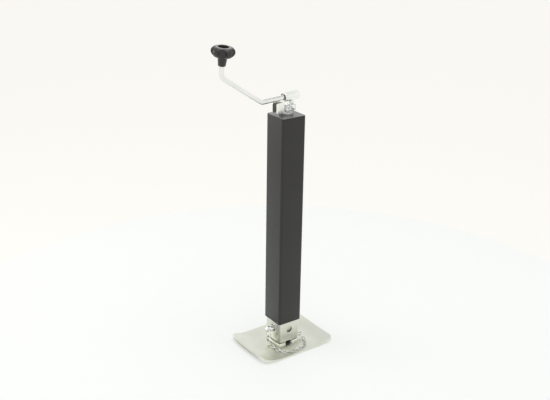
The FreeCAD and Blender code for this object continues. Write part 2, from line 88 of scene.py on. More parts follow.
@dataclass(frozen=True)
class Box:
    """The space that a node of the frame takes.

    Args:
        low: Lowest corner.
        high: Highest corner.
    """

    low: Vector
    high: Vector

    @classmethod
    @cache
    def of(cls, node: str) -> "Box":
        """Reads a node's box from the frame."""
        low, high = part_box(node)
        return cls(Vector(low), Vector(high))

    @property
    def centre(self) -> Vector:
        """Middle of the box."""
        return (self.low + self.high) / 2

    @property
    def size(self) -> Vector:
        """Length of the box along each axis."""
        return self.high - self.low


def select_only(*items: Piece) -> None:
    """Selects these objects and makes the first one active, or selects nothing."""
    bpy.ops.object.select_all(action="DESELECT")
    for item in items:
        item.select_set(True)
    if items:
        bpy.context.view_layer.objects.active = items[0]


def new_object(name: str, data: bpy.types.ID) -> Piece:
    """Puts an object with this data into the scene."""
    item = bpy.data.objects.new(name, data)
    bpy.context.scene.collection.objects.link(item)
    return item


def settled(name: str) -> Piece:
    """Names the object that an operator has just added, and puts its place into its mesh."""
    item = bpy.context.active_object
    item.name = name
    item.data.name = name
    bpy.ops.object.transform_apply(location=True, rotation=True, scale=True)
    return item


def edit(item: Piece, work: Callable[[], object], everything: bool = True) -> None:
    """Runs an edit mode operator on a whole mesh, or only on what is selected in it."""
    select_only(item)
    bpy.ops.object.mode_set(mode="EDIT")
    if everything:
        bpy.ops.mesh.select_all(action="SELECT")
    work()
    bpy.ops.object.mode_set(mode="OBJECT")


def clear_selection(item: Piece, kind: str) -> None:
    """Leaves nothing selected in a mesh, in edge or face mode."""
    select_only(item)
    bpy.ops.object.mode_set(mode="EDIT")
    bpy.ops.mesh.select_mode(type=kind)
    bpy.ops.mesh.select_all(action="DESELECT")
    bpy.ops.object.mode_set(mode="OBJECT")


def bevel_edges(item: Piece, width: float, segments: int, wanted: Test) -> None:
    """Bevels the edges whose two ends pass a test.

    Args:
        item: The piece.
        width: Radius of the bevel.
        segments: Steps across it.
        wanted: Takes both ends of an edge.
    """
    clear_selection(item, "EDGE")
    points = item.data.vertices
    for edge in item.data.edges:
        first, second = (points[index].co for index in edge.vertices)
        edge.select = wanted(first, second)
    edit(item, lambda: bpy.ops.mesh.bevel(offset=width, segments=segments, profile=0.5), False)


def modified(item: Piece, kind: str, **settings: object) -> Piece:
    """Adds a modifier with these settings and applies it."""
    select_only(item)
    modifier = item.modifiers.new(kind.lower(), kind)
    for key, value in settings.items():
        setattr(modifier, key, value)
    bpy.ops.object.modifier_apply(modifier=modifier.name)
    return item


def rounded(item: Piece, width: float, segments: int = 3, angle: float = 40.0) -> Piece:
    """Rounds the edges that turn more than an angle.

    Args:
        item: The piece.
        width: How far the rounding reaches from the edge.
        segments: Steps across the rounding.
        angle: Smallest turn, in degrees, that is rounded.

    Returns:
        The same piece.
    """
    return modified(item, "BEVEL", width=width, segments=segments, limit_method="ANGLE",
                    angle_limit=math.radians(angle))


def walled(item: Piece, thickness: float, offset: float) -> Piece:
    """Gives a sheet its wall, which grows inwards at offset -1 and outwards at 1."""
    return modified(item, "SOLIDIFY", thickness=thickness, offset=offset, use_even_offset=True)


def combined(item: Piece, tool: Piece, operation: str = "DIFFERENCE") -> Piece:
    """Cuts a piece with a tool, which is used up, or joins the two into one skin.

    Args:
        item: The piece.
        tool: The tool.
        operation: DIFFERENCE or UNION.

    Returns:
        The piece.
    """
    modified(item, "BOOLEAN", operation=operation, solver="EXACT", object=tool)
    bpy.data.objects.remove(tool)
    return item


def outward(item: Piece) -> Piece:
    """Closes doubled points and turns every face outwards."""
    edit(item, lambda: bpy.ops.mesh.remove_doubles(threshold=1e-6))
    edit(item, lambda: bpy.ops.mesh.normals_make_consistent(inside=False))
    return item


def smooth(item: Piece, angle: float = 35.0) -> Piece:
    """Shades a piece smooth, except over edges sharper than an angle in degrees."""
    select_only(item)
    bpy.ops.object.shade_smooth_by_angle(angle=math.radians(angle))
    return item


def joined(name: str, *items: Piece) -> Piece:
    """Makes one object of several."""
    select_only(*items)
    bpy.ops.object.join()
    items[0].name = name
    items[0].data.name = name
    return items[0]


def moved(item: Piece, matrix: Matrix) -> Piece:
    """Moves a piece's mesh, so that its object stays at the origin."""
    item.data.transform(matrix)
    item.data.update()
    return item


def cylinder(name: str, radius: float, start: Vector, end: Vector, sides: int = 64,
             end_radius: float | None = None) -> Piece:
    """A round bar from one point to another, tapered where its end has a radius of its own."""
    turn = (end - start).to_track_quat("Z", "Y").to_euler()
    select_only()
    bpy.ops.mesh.primitive_cone_add(
        vertices=sides, radius1=radius, radius2=end_radius or radius, depth=(end - start).length,
        location=(start + end) / 2, rotation=turn)
    return settled(name)


def drilled(item: Piece, radius: float, centre: Vector, reach: Vector, sides: int = 64) -> Piece:
    """Drills a hole through a piece, which reaches as far from its centre to both sides."""
    return combined(item, cylinder("drill", radius, centre - reach, centre + reach, sides))


def block(name: str, low: Vector, high: Vector) -> Piece:
    """A plain block between two corners."""
    select_only()
    bpy.ops.mesh.primitive_cube_add(size=1, location=(low + high) / 2, scale=high - low)
    return settled(name)


def surface(name: str, columns: int, rows: int, place: Place) -> Piece:
    """A grid whose points are moved to where a formula puts them.

    Args:
        name: The piece's name.
        columns: Cells along the formula's first value.
        rows: Cells along its second value.
        place: Takes two values from 0 to 1 and gives the point.

    Returns:
        The surface, with doubled points merged and its faces outwards.
    """
    select_only()
    bpy.ops.mesh.primitive_grid_add(x_subdivisions=columns, y_subdivisions=rows, size=1)
    item = settled(name)
    for point in item.data.vertices:
        u = round((point.co.x + 0.5) * columns) / columns
        v = round((point.co.y + 0.5) * rows) / rows
        point.co = place(u, v)
    return outward(item)


def turned(name: str, outline: Outline, sides: int = 72,
           shaped: Callable[[float, float], float] | None = None) -> Piece:
    """Spins a half section about Z.

    Args:
        name: The piece's name.
        outline: Radius and height of each corner of the half section, in order round it.
        sides: Steps round the axis.
        shaped: Takes a radius and a turn and gives the radius there, for a piece that isn't round.

    Returns:
        The turned piece.
    """
    steps = len(outline) - 1

    def place(u: float, v: float) -> Vector:
        """Point of the outline at a turn."""
        radius, height = outline[round(u * steps)]
        angle = 2 * math.pi * (v % 1)
        radius = shaped(radius, angle) if shaped else radius
        return Vector((radius * math.cos(angle), radius * math.sin(angle), height))

    return surface(name, steps, sides, place)


def quarter_turned(point: Vector, times: int) -> Vector:
    """Turns a level point or direction about Z by a number of quarter turns."""
    for _ in range(times):
        point = Vector((-point.y, point.x, 0))
    return point


def eased(outline: Outline, radius: float) -> Outline:
    """Rounds the corners of a closed outline of (radius, height) points.

    Args:
        outline: The corners in order, without the first one again.
        radius: Radius of the rounding, made smaller at short sides.

    Returns:
        The closed outline, with the first point again at its end.
    """
    steps = 4
    corners = [Vector((r, h, 0)) for r, h in outline]
    points = []
    for number, corner in enumerate(corners):
        before = corners[number - 1] - corner
        after = corners[(number + 1) % len(corners)] - corner
        half = before.angle(after) / 2
        reach = min(radius / math.tan(half), before.length * 0.45, after.length * 0.45)
        ends = corner + before.normalized() * reach, corner + after.normalized() * reach
        for step in range(steps + 1):
            t = step / steps
            points.append(ends[0] * (1 - t) ** 2 + corner * 2 * t * (1 - t) + ends[1] * t ** 2)
    return [(point.x, point.y) for point in points + points[:1]]


def arc_corner(before: Vector, corner: Vector, after: Vector, radius: float) -> list[Vector]:
    """Points of the arc that rounds one corner of a path."""
    steps = 14
    first = (before - corner).normalized()
    second = (after - corner).normalized()
    half = first.angle(second) / 2
    centre = corner + (first + second).normalized() * radius / math.sin(half)
    start = corner + first * radius / math.tan(half) - centre
    end = corner + second * radius / math.tan(half) - centre
    axis = start.cross(end).normalized()
    sweep = start.angle(end)
    return [centre + Matrix.Rotation(sweep * step / steps, 3, axis) @ start for step in range(steps + 1)]


def bar(name: str, points: list[Vector], radius: float, ends: tuple[float, float]) -> Piece:
    """A round bar along a path, made as a bevelled curve and turned into a mesh.

    Args:
        name: The piece's name.
        points: The path.
        radius: The bar's radius.
        ends: Share of the radius at the first and the last point.

    Returns:
        The bar.
    """
    curve = bpy.data.curves.new(name, "CURVE")
    curve.dimensions = "3D"
    curve.bevel_depth = radius
    curve.bevel_resolution = 10
    curve.use_fill_caps = True
    spline = curve.splines.new("POLY")
    spline.points.add(len(points) - 1)
    for target, point in zip(spline.points, points):
        target.co = (*point, 1)
    spline.points[0].radius, spline.points[-1].radius = ends
    select_only(new_object(name, curve))
    bpy.ops.object.convert(target="MESH")
    return outward(bpy.context.active_object)


def refined(node: str, name: str, rounding: float, segments: int = 2) -> Piece:
    """A merged copy of a frame node, with its edges rounded as a tumbled part's are.

    Args:
        node: The frame's node.
        name: The piece's name.
        rounding: Size of the rounding.
        segments: Steps across it.

    Returns:
        The piece.
    """
    item = new_object(name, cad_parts[node].data.copy())
    item.data.name = name
    select_only(item)
    bpy.ops.mesh.customdata_custom_splitnormals_clear()
    edit(item, lambda: bpy.ops.mesh.remove_doubles(threshold=2e-6))
    edit(item, lambda: bpy.ops.mesh.dissolve_limited(angle_limit=math.radians(0.6)))
    return smooth(rounded(item, rounding, segments, 32.0))


class Graph:
    """Short hand for the nodes of a material or of the surround."""

    def __init__(self, owner: bpy.types.Material | bpy.types.World, place: str = "Object") -> None:
        """Starts with the owner's plain shader, and with the coordinates that its patterns read."""
        owner.use_nodes = True
        self.tree = owner.node_tree
        self.place = self.add("TexCoord", {}, place)

    def feed(self, node: str | bpy.types.Node, inputs: dict[str | int, object]) -> None:
        """Joins sockets to a node's inputs, and sets plain values there."""
        node = self.tree.nodes[node] if isinstance(node, str) else node
        for key, value in inputs.items():
            if isinstance(value, Socket):
                self.tree.links.new(value, node.inputs[key])
            else:
                node.inputs[key].default_value = value

    def add(self, kind: str, inputs: dict[str | int, object], output: str | int = 0,
            **settings: object) -> Socket:
        """Adds a node.

        Args:
            kind: Its type, without ShaderNode in front.
            inputs: Sockets or plain values for its inputs.
            output: The output that is read.
            settings: Its own settings.

        Returns:
            The output.
        """
        node = self.tree.nodes.new("ShaderNode" + kind)
        for key, value in settings.items():
            setattr(node, key, value)
        self.feed(node, inputs)
        return node.outputs[output]

    def noise(self, per_metre: float, detail: float = 3.0, stretch: Triple = (1, 1, 1),
              roughness: float = 0.5) -> Socket:
        """A noise pattern in the piece's own space.

        Args:
            per_metre: Grains per metre.
            detail: Octaves.
            stretch: Scale of the pattern along each axis.
            roughness: Share of the finer octaves.

        Returns:
            The pattern's value, from 0 to 1.
        """
        stretched = self.add("Mapping", {"Vector": self.place, "Scale": stretch})
        grains = {"Vector": stretched, "Scale": per_metre, "Detail": detail, "Roughness": roughness}
        return self.add("TexNoise", grains, "Fac")

    def ramp(self, value: Socket, *stops: tuple[float, Triple]) -> Socket:
        """Turns a value into a colour by two or more stops, in rising order."""
        colour = self.add("ValToRGB", {"Fac": value})
        elements = colour.node.color_ramp.elements
        for number, (at, shade) in enumerate(stops):
            element = elements[number] if number < 2 else elements.new(at)
            element.position = at
            element.color = (*shade, 1)
        return colour

    def span(self, value: Socket, low: float = 0.0, high: float = 1.0, start: float = 0.3,
             end: float = 0.7) -> Socket:
        """Maps start..end, which holds most of a pattern unless given, to low..high."""
        limits = {"From Min": start, "From Max": end, "To Min": low, "To Max": high}
        return self.add("MapRange", {"Value": value, **limits}, "Result")

    def vector(self, operation: str, first: Socket, second: Triple = (0, 0, 0),
               output: str = "Vector") -> Socket:
        """One step of vector arithmetic with a constant."""
        return self.add("VectorMath", {0: first, 1: second}, output, operation=operation)

    def number(self, operation: str, first: Socket, second: Socket | float = 0.0) -> Socket:
        """One step of arithmetic, which gives 1 or 0 where it compares."""
        return self.add("Math", {0: first, 1: second}, operation=operation)

    def choose(self, share: Socket, other: Socket, colour: Triple) -> Socket:
        """A plain colour where a share is 1, and another colour where it is 0."""
        return self.add("MixRGB", {"Fac": share, "Color1": other, "Color2": (*colour, 1)})

    def part(self, axis: str) -> Socket:
        """A point's place along X, Y or Z."""
        return self.add("SeparateXYZ", {0: self.place}, axis)

    def along(self, axis: Triple) -> Socket:
        """A point's place along any direction."""
        return self.vector("DOT_PRODUCT", self.place, axis, "Value")

    def relief(self, height: Socket, depth: float, under: Socket | None = None) -> Socket:
        """Relief of a depth in metres, on top of another relief if one is given."""
        below = {} if under is None else {"Normal": under}
        return self.add("Bump", {"Strength": 0.5, "Distance": depth, "Height": height, **below})

    def seen(self) -> Socket:
        """A socket that is 1 for what the camera or a mirror sees, and 0 for what lights a piece."""
        camera = self.add("LightPath", {}, "Is Camera Ray")
        return self.number("MAXIMUM", camera, camera.node.outputs["Is Glossy Ray"])


@dataclass(frozen=True)
class Finish:
    """What every finish shares.

    Args:
        name: The material's name.
        slot: Name of a material slot; not used.
    """

    name: str
    slot: str

    def material(self) -> bpy.types.Material:
        """The finish's material, made once."""
        known = bpy.data.materials.get(self.name)
        if known:
            return known
        material = bpy.data.materials.new(self.name)
        graph = Graph(material)
        graph.feed("Principled BSDF", self.sockets(graph))
        return material

    def sockets(self, graph: Graph) -> dict[str, object]:
        """What goes into the shader's inputs."""
        raise NotImplementedError


@dataclass(frozen=True)
class PowderCoat(Finish):
    """Sprayed and baked paint with a fine orange peel.

    Args:
        colour: Paint colour.
        roughness: Dullness of the film.
        peel: Depth of the orange peel.
        highlight_above: Height above which the paint is painted paler, a painted highlight on the lit top.
        top_highlight: Colour of that painted highlight.
    """

    colour: Triple = (0.0108, 0.0104, 0.0097)
    roughness: float = 0.32
    peel: float = 0.06 * MM
    highlight_above: float = math.inf
    top_highlight: Triple = (0.13, 0.13, 0.125)

    def sockets(self, graph: Graph) -> dict[str, object]:
        """Paint in faint clouds, painted paler on its top as a painted highlight, with dust in its gloss and
        a coarse and a fine peel.
        """
        dark, pale = (tuple(part * share for part in self.colour) for share in (0.86, 1.25))
        colour = graph.ramp(graph.noise(9.0, 4.0), (0.35, dark), (0.65, pale))
        # Painted highlight: above the given height the top is painted paler, where light from above falls on
        # it.
        if self.highlight_above < math.inf:
            above = graph.number("GREATER_THAN", graph.part("Z"), self.highlight_above)
            colour = graph.choose(above, colour, self.top_highlight)
        dust = graph.noise(70.0, 5.0, roughness=0.65)
        coarse = graph.relief(graph.noise(420.0, 2.0), self.peel)
        return {
            "Base Color": colour,
            "Roughness": graph.span(dust, self.roughness - 0.04, self.roughness + 0.06),
            "Normal": graph.relief(graph.noise(1700.0, 2.0), self.peel * 0.35, coarse),
            "IOR": 1.5,
            "Coat Weight": 0.05,
            "Coat Roughness": 0.22,
        }


@dataclass(frozen=True)
class Plating(Finish):
    """Zinc plate or bare metal.

    Args:
        base: Main colour.
        tint: Second colour, in soft patches.
        roughness: Mean roughness.
        spread: How far the roughness varies.
        grain: Scale of the fine pattern along each axis, small where it is drawn out.
        relief: Depth of the fine relief.
        shaded_inside: Half width of a square tube whose inside and hole walls are painted dark as painted
            shade, or 0 for none.
        corner: Corner radius of that tube.
        inside_shade: Colour of that painted shade.
        shade_past_x: Place along X past which shade is painted on the plating, or 0 for none.
        painted_shade: Colour of that painted shade.
        shade_edge: Length over which it sets in along X.
        shade_back: Places along Y between which it sets in.
        channel: Direction across a channel whose inside is painted darker as painted shade, or none.
        channel_half: Half of that channel's width.
        channel_run: Direction along it.
        channel_start: Where it starts along that direction.
        channel_top: Height up to which it is dark.
        channel_shade: Colour of that painted shade.
    """

    base: Triple
    tint: Triple
    roughness: float
    spread: float
    grain: Triple = (1.0, 1.0, 1.0)
    relief: float = 0.02 * MM
    shaded_inside: float = 0.0
    corner: float = 5 * MM
    inside_shade: Triple = (0.10, 0.095, 0.085)
    shade_past_x: float = 0.0
    painted_shade: Triple = (0.44, 0.45, 0.39)
    shade_edge: float = 4 * MM
    shade_back: tuple[float, float] = (1.0, 0.9)
    channel: Triple | None = None
    channel_half: float = 6.65 * MM
    channel_run: Triple = (-0.990, -0.139, 0.0)
    channel_start: float = 16.2 * MM
    channel_top: float = 639 * MM
    channel_shade: Triple = (0.56, 0.57, 0.53)

    def painted_shade_share(self, graph: Graph) -> Socket:
        """A socket that is 1 where shade is painted on the plating."""
        back, front = self.shade_back
        side = graph.span(graph.part("X"), start=self.shade_past_x, end=self.shade_past_x - self.shade_edge)
        return graph.number("MULTIPLY", side, graph.span(graph.part("Y"), start=back, end=front))

    def channel_shade_share(self, graph: Graph) -> Socket:
        """A socket that is 1 inside the channel, where shade is painted."""
        across = graph.number("ABSOLUTE", graph.along(self.channel))
        inside = graph.number("LESS_THAN", across, self.channel_half)
        past = graph.number("GREATER_THAN", graph.along(self.channel_run), self.channel_start)
        under = graph.number("LESS_THAN", graph.part("Z"), self.channel_top)
        return graph.number("MULTIPLY", graph.number("MULTIPLY", inside, past), under)

    def inside_shade_share(self, graph: Graph) -> Socket:
        """A socket that is 1 under the skin of the square tube, where shade is painted."""
        flat = self.shaded_inside - self.corner
        folded = graph.vector("ABSOLUTE", graph.place)
        beyond = graph.vector("MAXIMUM", graph.vector("SUBTRACT", folded, (flat, flat, 0)))
        level = graph.vector("MULTIPLY", beyond, (1, 1, 0))
        out = graph.vector("LENGTH", level, output="Value")
        return graph.number("LESS_THAN", out, self.corner - 2 * TOUCH)

    def sockets(self, graph: Graph) -> dict[str, object]:
        """Metal in soft clouds, with painted shade where a mask marks it, haze in its gloss and a coarse and
        a fine relief.
        """
        colour = graph.ramp(graph.noise(26.0, 4.0, roughness=0.6), (0.36, self.tint), (0.62, self.base))
        # Painted shade: past a place along X the plating is painted darker.
        if self.shade_past_x:
            colour = graph.choose(self.painted_shade_share(graph), colour, self.painted_shade)
        # Painted shade: the inside of the saddle's channel, between its ears, is painted darker.
        if self.channel:
            colour = graph.choose(self.channel_shade_share(graph), colour, self.channel_shade)
        # Painted shade: the inside of the tube's wall and of its holes is painted dark.
        if self.shaded_inside:
            colour = graph.choose(self.inside_shade_share(graph), colour, self.inside_shade)
        haze = graph.noise(160.0, 5.0, self.grain, 0.62)
        low = self.roughness - self.spread / 2
        sheet = graph.relief(graph.noise(55.0, 2.0), self.relief * 3)
        return {
            "Metallic": 1.0,
            "Base Color": colour,
            "Roughness": graph.span(haze, low, low + self.spread),
            "Normal": graph.relief(graph.noise(1500.0, 3.0, self.grain), self.relief, sheet),
        }


@dataclass(frozen=True)
class MouldedPlastic(Finish):
    """Black plastic with the fine grain of its mould.

    Args:
        colour: Plastic colour.
        roughness: Mean roughness.
        axis: Direction along which the crown is painted pale, as a painted highlight.
        crown: Places along it between which the painted highlight sets in.
        crown_highlight: Colour of the painted highlight on the crown.
    """

    colour: Triple = (0.0085, 0.0085, 0.0085)
    roughness: float = 0.28
    axis: Triple = (0.0, 0.0, 1.0)
    crown: tuple[float, float] = (10.0, 11.0)
    crown_highlight: Triple = (0.25, 0.244, 0.232)

    def sockets(self, graph: Graph) -> dict[str, object]:
        """Plastic in faint clouds, with hands' wear in its gloss and a painted highlight on its crown."""
        # Painted highlight: the crown's rim is painted pale where it would mirror the bright surround.
        start, end = self.crown
        crown = graph.span(graph.along(self.axis), start=start, end=end)
        pale = tuple(part * 1.3 for part in self.colour)
        colour = graph.ramp(graph.noise(40.0), (0.35, self.colour), (0.7, pale))
        sheen = graph.noise(240.0, 4.0)
        return {
            "Base Color": graph.choose(crown, colour, self.crown_highlight),
            "Roughness": graph.span(sheen, self.roughness - 0.05, self.roughness + 0.07),
            "Normal": graph.relief(graph.noise(2100.0, 2.0, roughness=0.7), 0.05 * MM),
            "IOR": 1.49,
            "Coat Weight": 0.25,
            "Coat Roughness": 0.2,
        }


PAINT = PowderCoat("black_powder_coat", "black_paint")
# The cap's top is painted paler above this height: a painted highlight.
CAP_PAINT = PowderCoat("cap_powder_coat", "black_paint", roughness=0.24, highlight_above=607.6 * MM)
ZINC = Plating("clear_zinc", "zinc_plate", (0.76, 0.77, 0.71), (0.72, 0.74, 0.64), 0.34, 0.08,
               grain=(1.0, 1.0, 0.15))
# Painted shade on the ram: its front left face, where the pin's shadow falls, and the inside of its wall and
# holes are painted darker.
RAM_ZINC = replace(ZINC, name="ram_zinc", shaded_inside=30.15 * MM, shade_past_x=-25.5 * MM,
                   shade_back=(8 * MM, -20 * MM))
# Painted shade: the foot plate's left end is painted darker past this place.
FOOT_ZINC = Plating("foot_zinc", "zinc_plate", (0.77, 0.78, 0.72), (0.73, 0.75, 0.66), 0.36, 0.1,
                    grain=(0.2, 1.0, 1.0), shade_past_x=-107 * MM)
WELD_ZINC = Plating("plated_weld", "weld_metal", (0.80, 0.80, 0.72), (0.70, 0.70, 0.58), 0.3, 0.15,
                    relief=0.05 * MM)
BRIGHT = Plating("bright_plate", "bright_zinc", (0.87, 0.875, 0.87), (0.81, 0.82, 0.80), 0.17, 0.06)
HEAD_ZINC = Plating("head_plate", "bright_zinc", (0.92, 0.93, 0.91), (0.87, 0.89, 0.86), 0.33, 0.08)
YOKE_ZINC = Plating("yoke_plate", "bright_zinc", (0.74, 0.76, 0.77), (0.66, 0.69, 0.69), 0.26, 0.1)
CHAIN_ZINC = Plating("chain_plate", "bright_zinc", (0.72, 0.72, 0.69), (0.58, 0.58, 0.55), 0.26, 0.1)
# The saddle's channel is painted darker inside: painted shade between its ears.
SADDLE_ZINC = replace(HEAD_ZINC, name="saddle_plate", channel=(0.139, -0.990, 0.0))
OILED = Plating("oiled_steel", "machined_steel", (0.52, 0.52, 0.53), (0.42, 0.41, 0.39), 0.3, 0.1)
GROUND = Plating("ground_steel", "bearing_steel", (0.72, 0.72, 0.74), (0.66, 0.66, 0.68), 0.14, 0.05)
BRASS = Plating("pressed_brass", "cage_brass", (0.72, 0.53, 0.24), (0.60, 0.42, 0.18), 0.28, 0.1)
SPRING = Plating("spring_plate", "spring_steel", (0.6, 0.6, 0.58), (0.5, 0.5, 0.48), 0.28, 0.1)
GRIP = MouldedPlastic("knob_moulding", "knob_plastic")


def paint(item: Piece, finish: Finish) -> None:
    """Gives a piece its one material."""
    item.data.materials.clear()
    item.data.materials.append(finish.material())


def dress(item: Piece, finish: Finish, body: Body, node: str) -> None:
    """Finishes a piece, which moves with a group and stands for a frame node."""
    paint(item, finish)
    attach(item, body.value)
    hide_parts(node)
    log.info("%s: %d faces, moves with %s", item.name, len(item.data.polygons), body.value)


def keep(finish: Finish, *nodes: str) -> None:
    """Gives frame nodes that stay their finish."""
    for node in nodes:
        paint(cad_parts[node], finish)
        log.info("%s: kept from the frame", node)


@dataclass(frozen=True)
class SquareTube:
    """A square steel tube with round corners.

    Args:
        node: The frame's node.
        wall: Wall thickness.
        corner: Outer corner radius.
        rim: Rounding of the cut ends.
    """

    node: str
    wall: float = 3 * MM
    corner: float = 6 * MM
    rim: float = 0.5 * MM

    def build(self, name: str) -> Piece:
        """Makes the tube, open at both ends, with square rims still sharp."""
        box = Box.of(self.node)
        height = box.size.z
        item = block(name, box.low, box.high)
        clear_selection(item, "FACE")
        for face in item.data.polygons:
            face.select = abs(face.normal.z) > 0.9
        edit(item, lambda: bpy.ops.mesh.delete(type="ONLY_FACE"), False)
        bevel_edges(item, self.corner, 10, lambda a, b: abs(a.z - b.z) > height / 2)
        return walled(item, self.wall, -1)

    def dress(self, item: Piece, finish: Finish, body: Body) -> None:
        """Rounds the rims of the drilled tube and finishes it."""
        dress(smooth(rounded(item, self.rim)), finish, body, self.node)


@dataclass(frozen=True)
class Column:
    """The outer tube and its cap.

    Args:
        tube: The tube.
        boss_height: Height of the boss over the cap.
        boss_radius: Radius of the boss.
        boss_round: Rounding of the boss's brim.
        fillet: Fillet at the boss's foot.
        bore: Radius of the boss's bore.
        cap_round: Rounding of the cap's upper edge.
        seam: Rounding of the seam between cap and tube.
        washer_bore: Radius of the thrust washer's bore.
        washer_round: Rounding of its edges.
    """

    tube: SquareTube = SquareTube("outer_tube", rim=0.8 * MM)
    boss_height: float = 3 * MM
    boss_radius: float = 18 * MM
    boss_round: float = 2 * MM
    fillet: float = 0.9 * MM
    bore: float = 11.1 * MM
    cap_round: float = 1.2 * MM
    seam: float = 0.35 * MM
    washer_bore: float = 8.1 * MM
    washer_round: float = 0.3 * MM

    @property
    def cap_top(self) -> float:
        """Height of the cap's flat top."""
        return Box.of("top_cap").high.z - self.boss_height

    def make_cap(self) -> None:
        """Makes the cap, its plate and its turned boss in one skin."""
        box = Box.of("top_cap")
        plate = block("top_cap_painted", box.low, Vector((box.high.x, box.high.y, self.cap_top)))
        bevel_edges(plate, self.tube.corner, 10, lambda a, b: abs(a.z - b.z) > MM)
        bevel_edges(plate, self.cap_round, 5, lambda a, b: min(a.z, b.z) > self.cap_top - TOUCH)
        bevel_edges(plate, self.seam, 2, lambda a, b: max(a.z, b.z) < box.low.z + TOUCH)
        boss = turned("cap_boss", self.boss_outline(box.low.z))
        bore = cylinder("cap_bore", self.bore, Z_AXIS * (box.low.z - MM), Z_AXIS * (box.high.z + MM))
        cap = combined(combined(plate, boss, "UNION"), bore)
        dress(smooth(cap), CAP_PAINT, Body.TUBE, "top_cap")

    def boss_outline(self, floor: float) -> Outline:
        """Half section of the boss: a filleted foot, a straight side and a rounded brim."""
        foot = self.boss_radius + self.fillet
        brim = self.boss_radius - self.boss_round
        top = self.cap_top + self.boss_height
        angles = [math.radians(15 * step) for step in range(7)]
        turns = [(math.sin(angle), math.cos(angle)) for angle in angles]
        outline = [(0, floor), (foot, floor), (foot, self.cap_top - TOUCH)]
        outline += [(foot - self.fillet * sine, self.cap_top + self.fillet * (1 - cosine))
                    for sine, cosine in turns]
        outline += [(brim + self.boss_round * cosine, top - self.boss_round * (1 - sine))
                    for sine, cosine in turns]
        return outline + [(0, top)]

    def make_washer(self) -> None:
        """Makes the thrust washer on the boss."""
        box = Box.of("thrust_washer")
        inner, outer = self.washer_bore, box.size.x / 2
        ring = [(inner, box.low.z), (outer, box.low.z), (outer, box.high.z), (inner, box.high.z)]
        washer = turned("thrust_washer_turned", eased(ring, self.washer_round))
        dress(smooth(washer), BRIGHT, Body.TUBE, "thrust_washer")

    def build(self) -> None:
        """Makes the pieces that are welded to the tube, and finishes those inside."""
        self.tube.dress(self.tube.build("outer_tube_painted"), PAINT, Body.TUBE)
        self.make_cap()
        self.make_washer()
        keep(BRASS, "cap_bushing", "ball_cage")
        keep(GROUND, "upper_race", "lower_race", "thrust_balls")


@dataclass(frozen=True)
class Ram:
    """The inner tube that the screw drives.

    Args:
        tube: The tube.
        hole: Diameter of the pin's holes.
        pin_height: Height of the holes' axis over the ram's lower end.
        flare: Depth of the wear round the mouths of the pin's holes.
    """

    tube: SquareTube = SquareTube("ram_tube", corner=5 * MM)
    hole: float = 16.7 * MM
    pin_height: float = 32 * MM
    flare: float = 1.3 * MM

    def build(self) -> None:
        """Makes the ram with its four holes, and finishes what it carries."""
        box = Box.of("ram_tube")
        height = box.low.z + self.pin_height
        item = self.tube.build("ram_tube_plated")
        for along in (X_AXIS, Y_AXIS):
            item = drilled(item, self.hole / 2, Z_AXIS * height, along * box.size.x)
        for side in (-1, 1):
            face = Vector((side * box.size.x / 2, 0, height))
            inner, outer = face - X_AXIS * side * self.flare, face + X_AXIS * side * self.flare
            flare = cylinder("flare", self.hole / 2, inner, outer, end_radius=self.hole / 2 + 2 * self.flare)
            item = combined(item, flare)
        self.tube.dress(item, RAM_ZINC, Body.RAM)
        anchor = refined("chain_anchor", "chain_anchor_plated", 0.2 * MM)
        dress(anchor, WELD_ZINC, Body.RAM, "chain_anchor")
        keep(OILED, "nut_plate", "lead_nut")


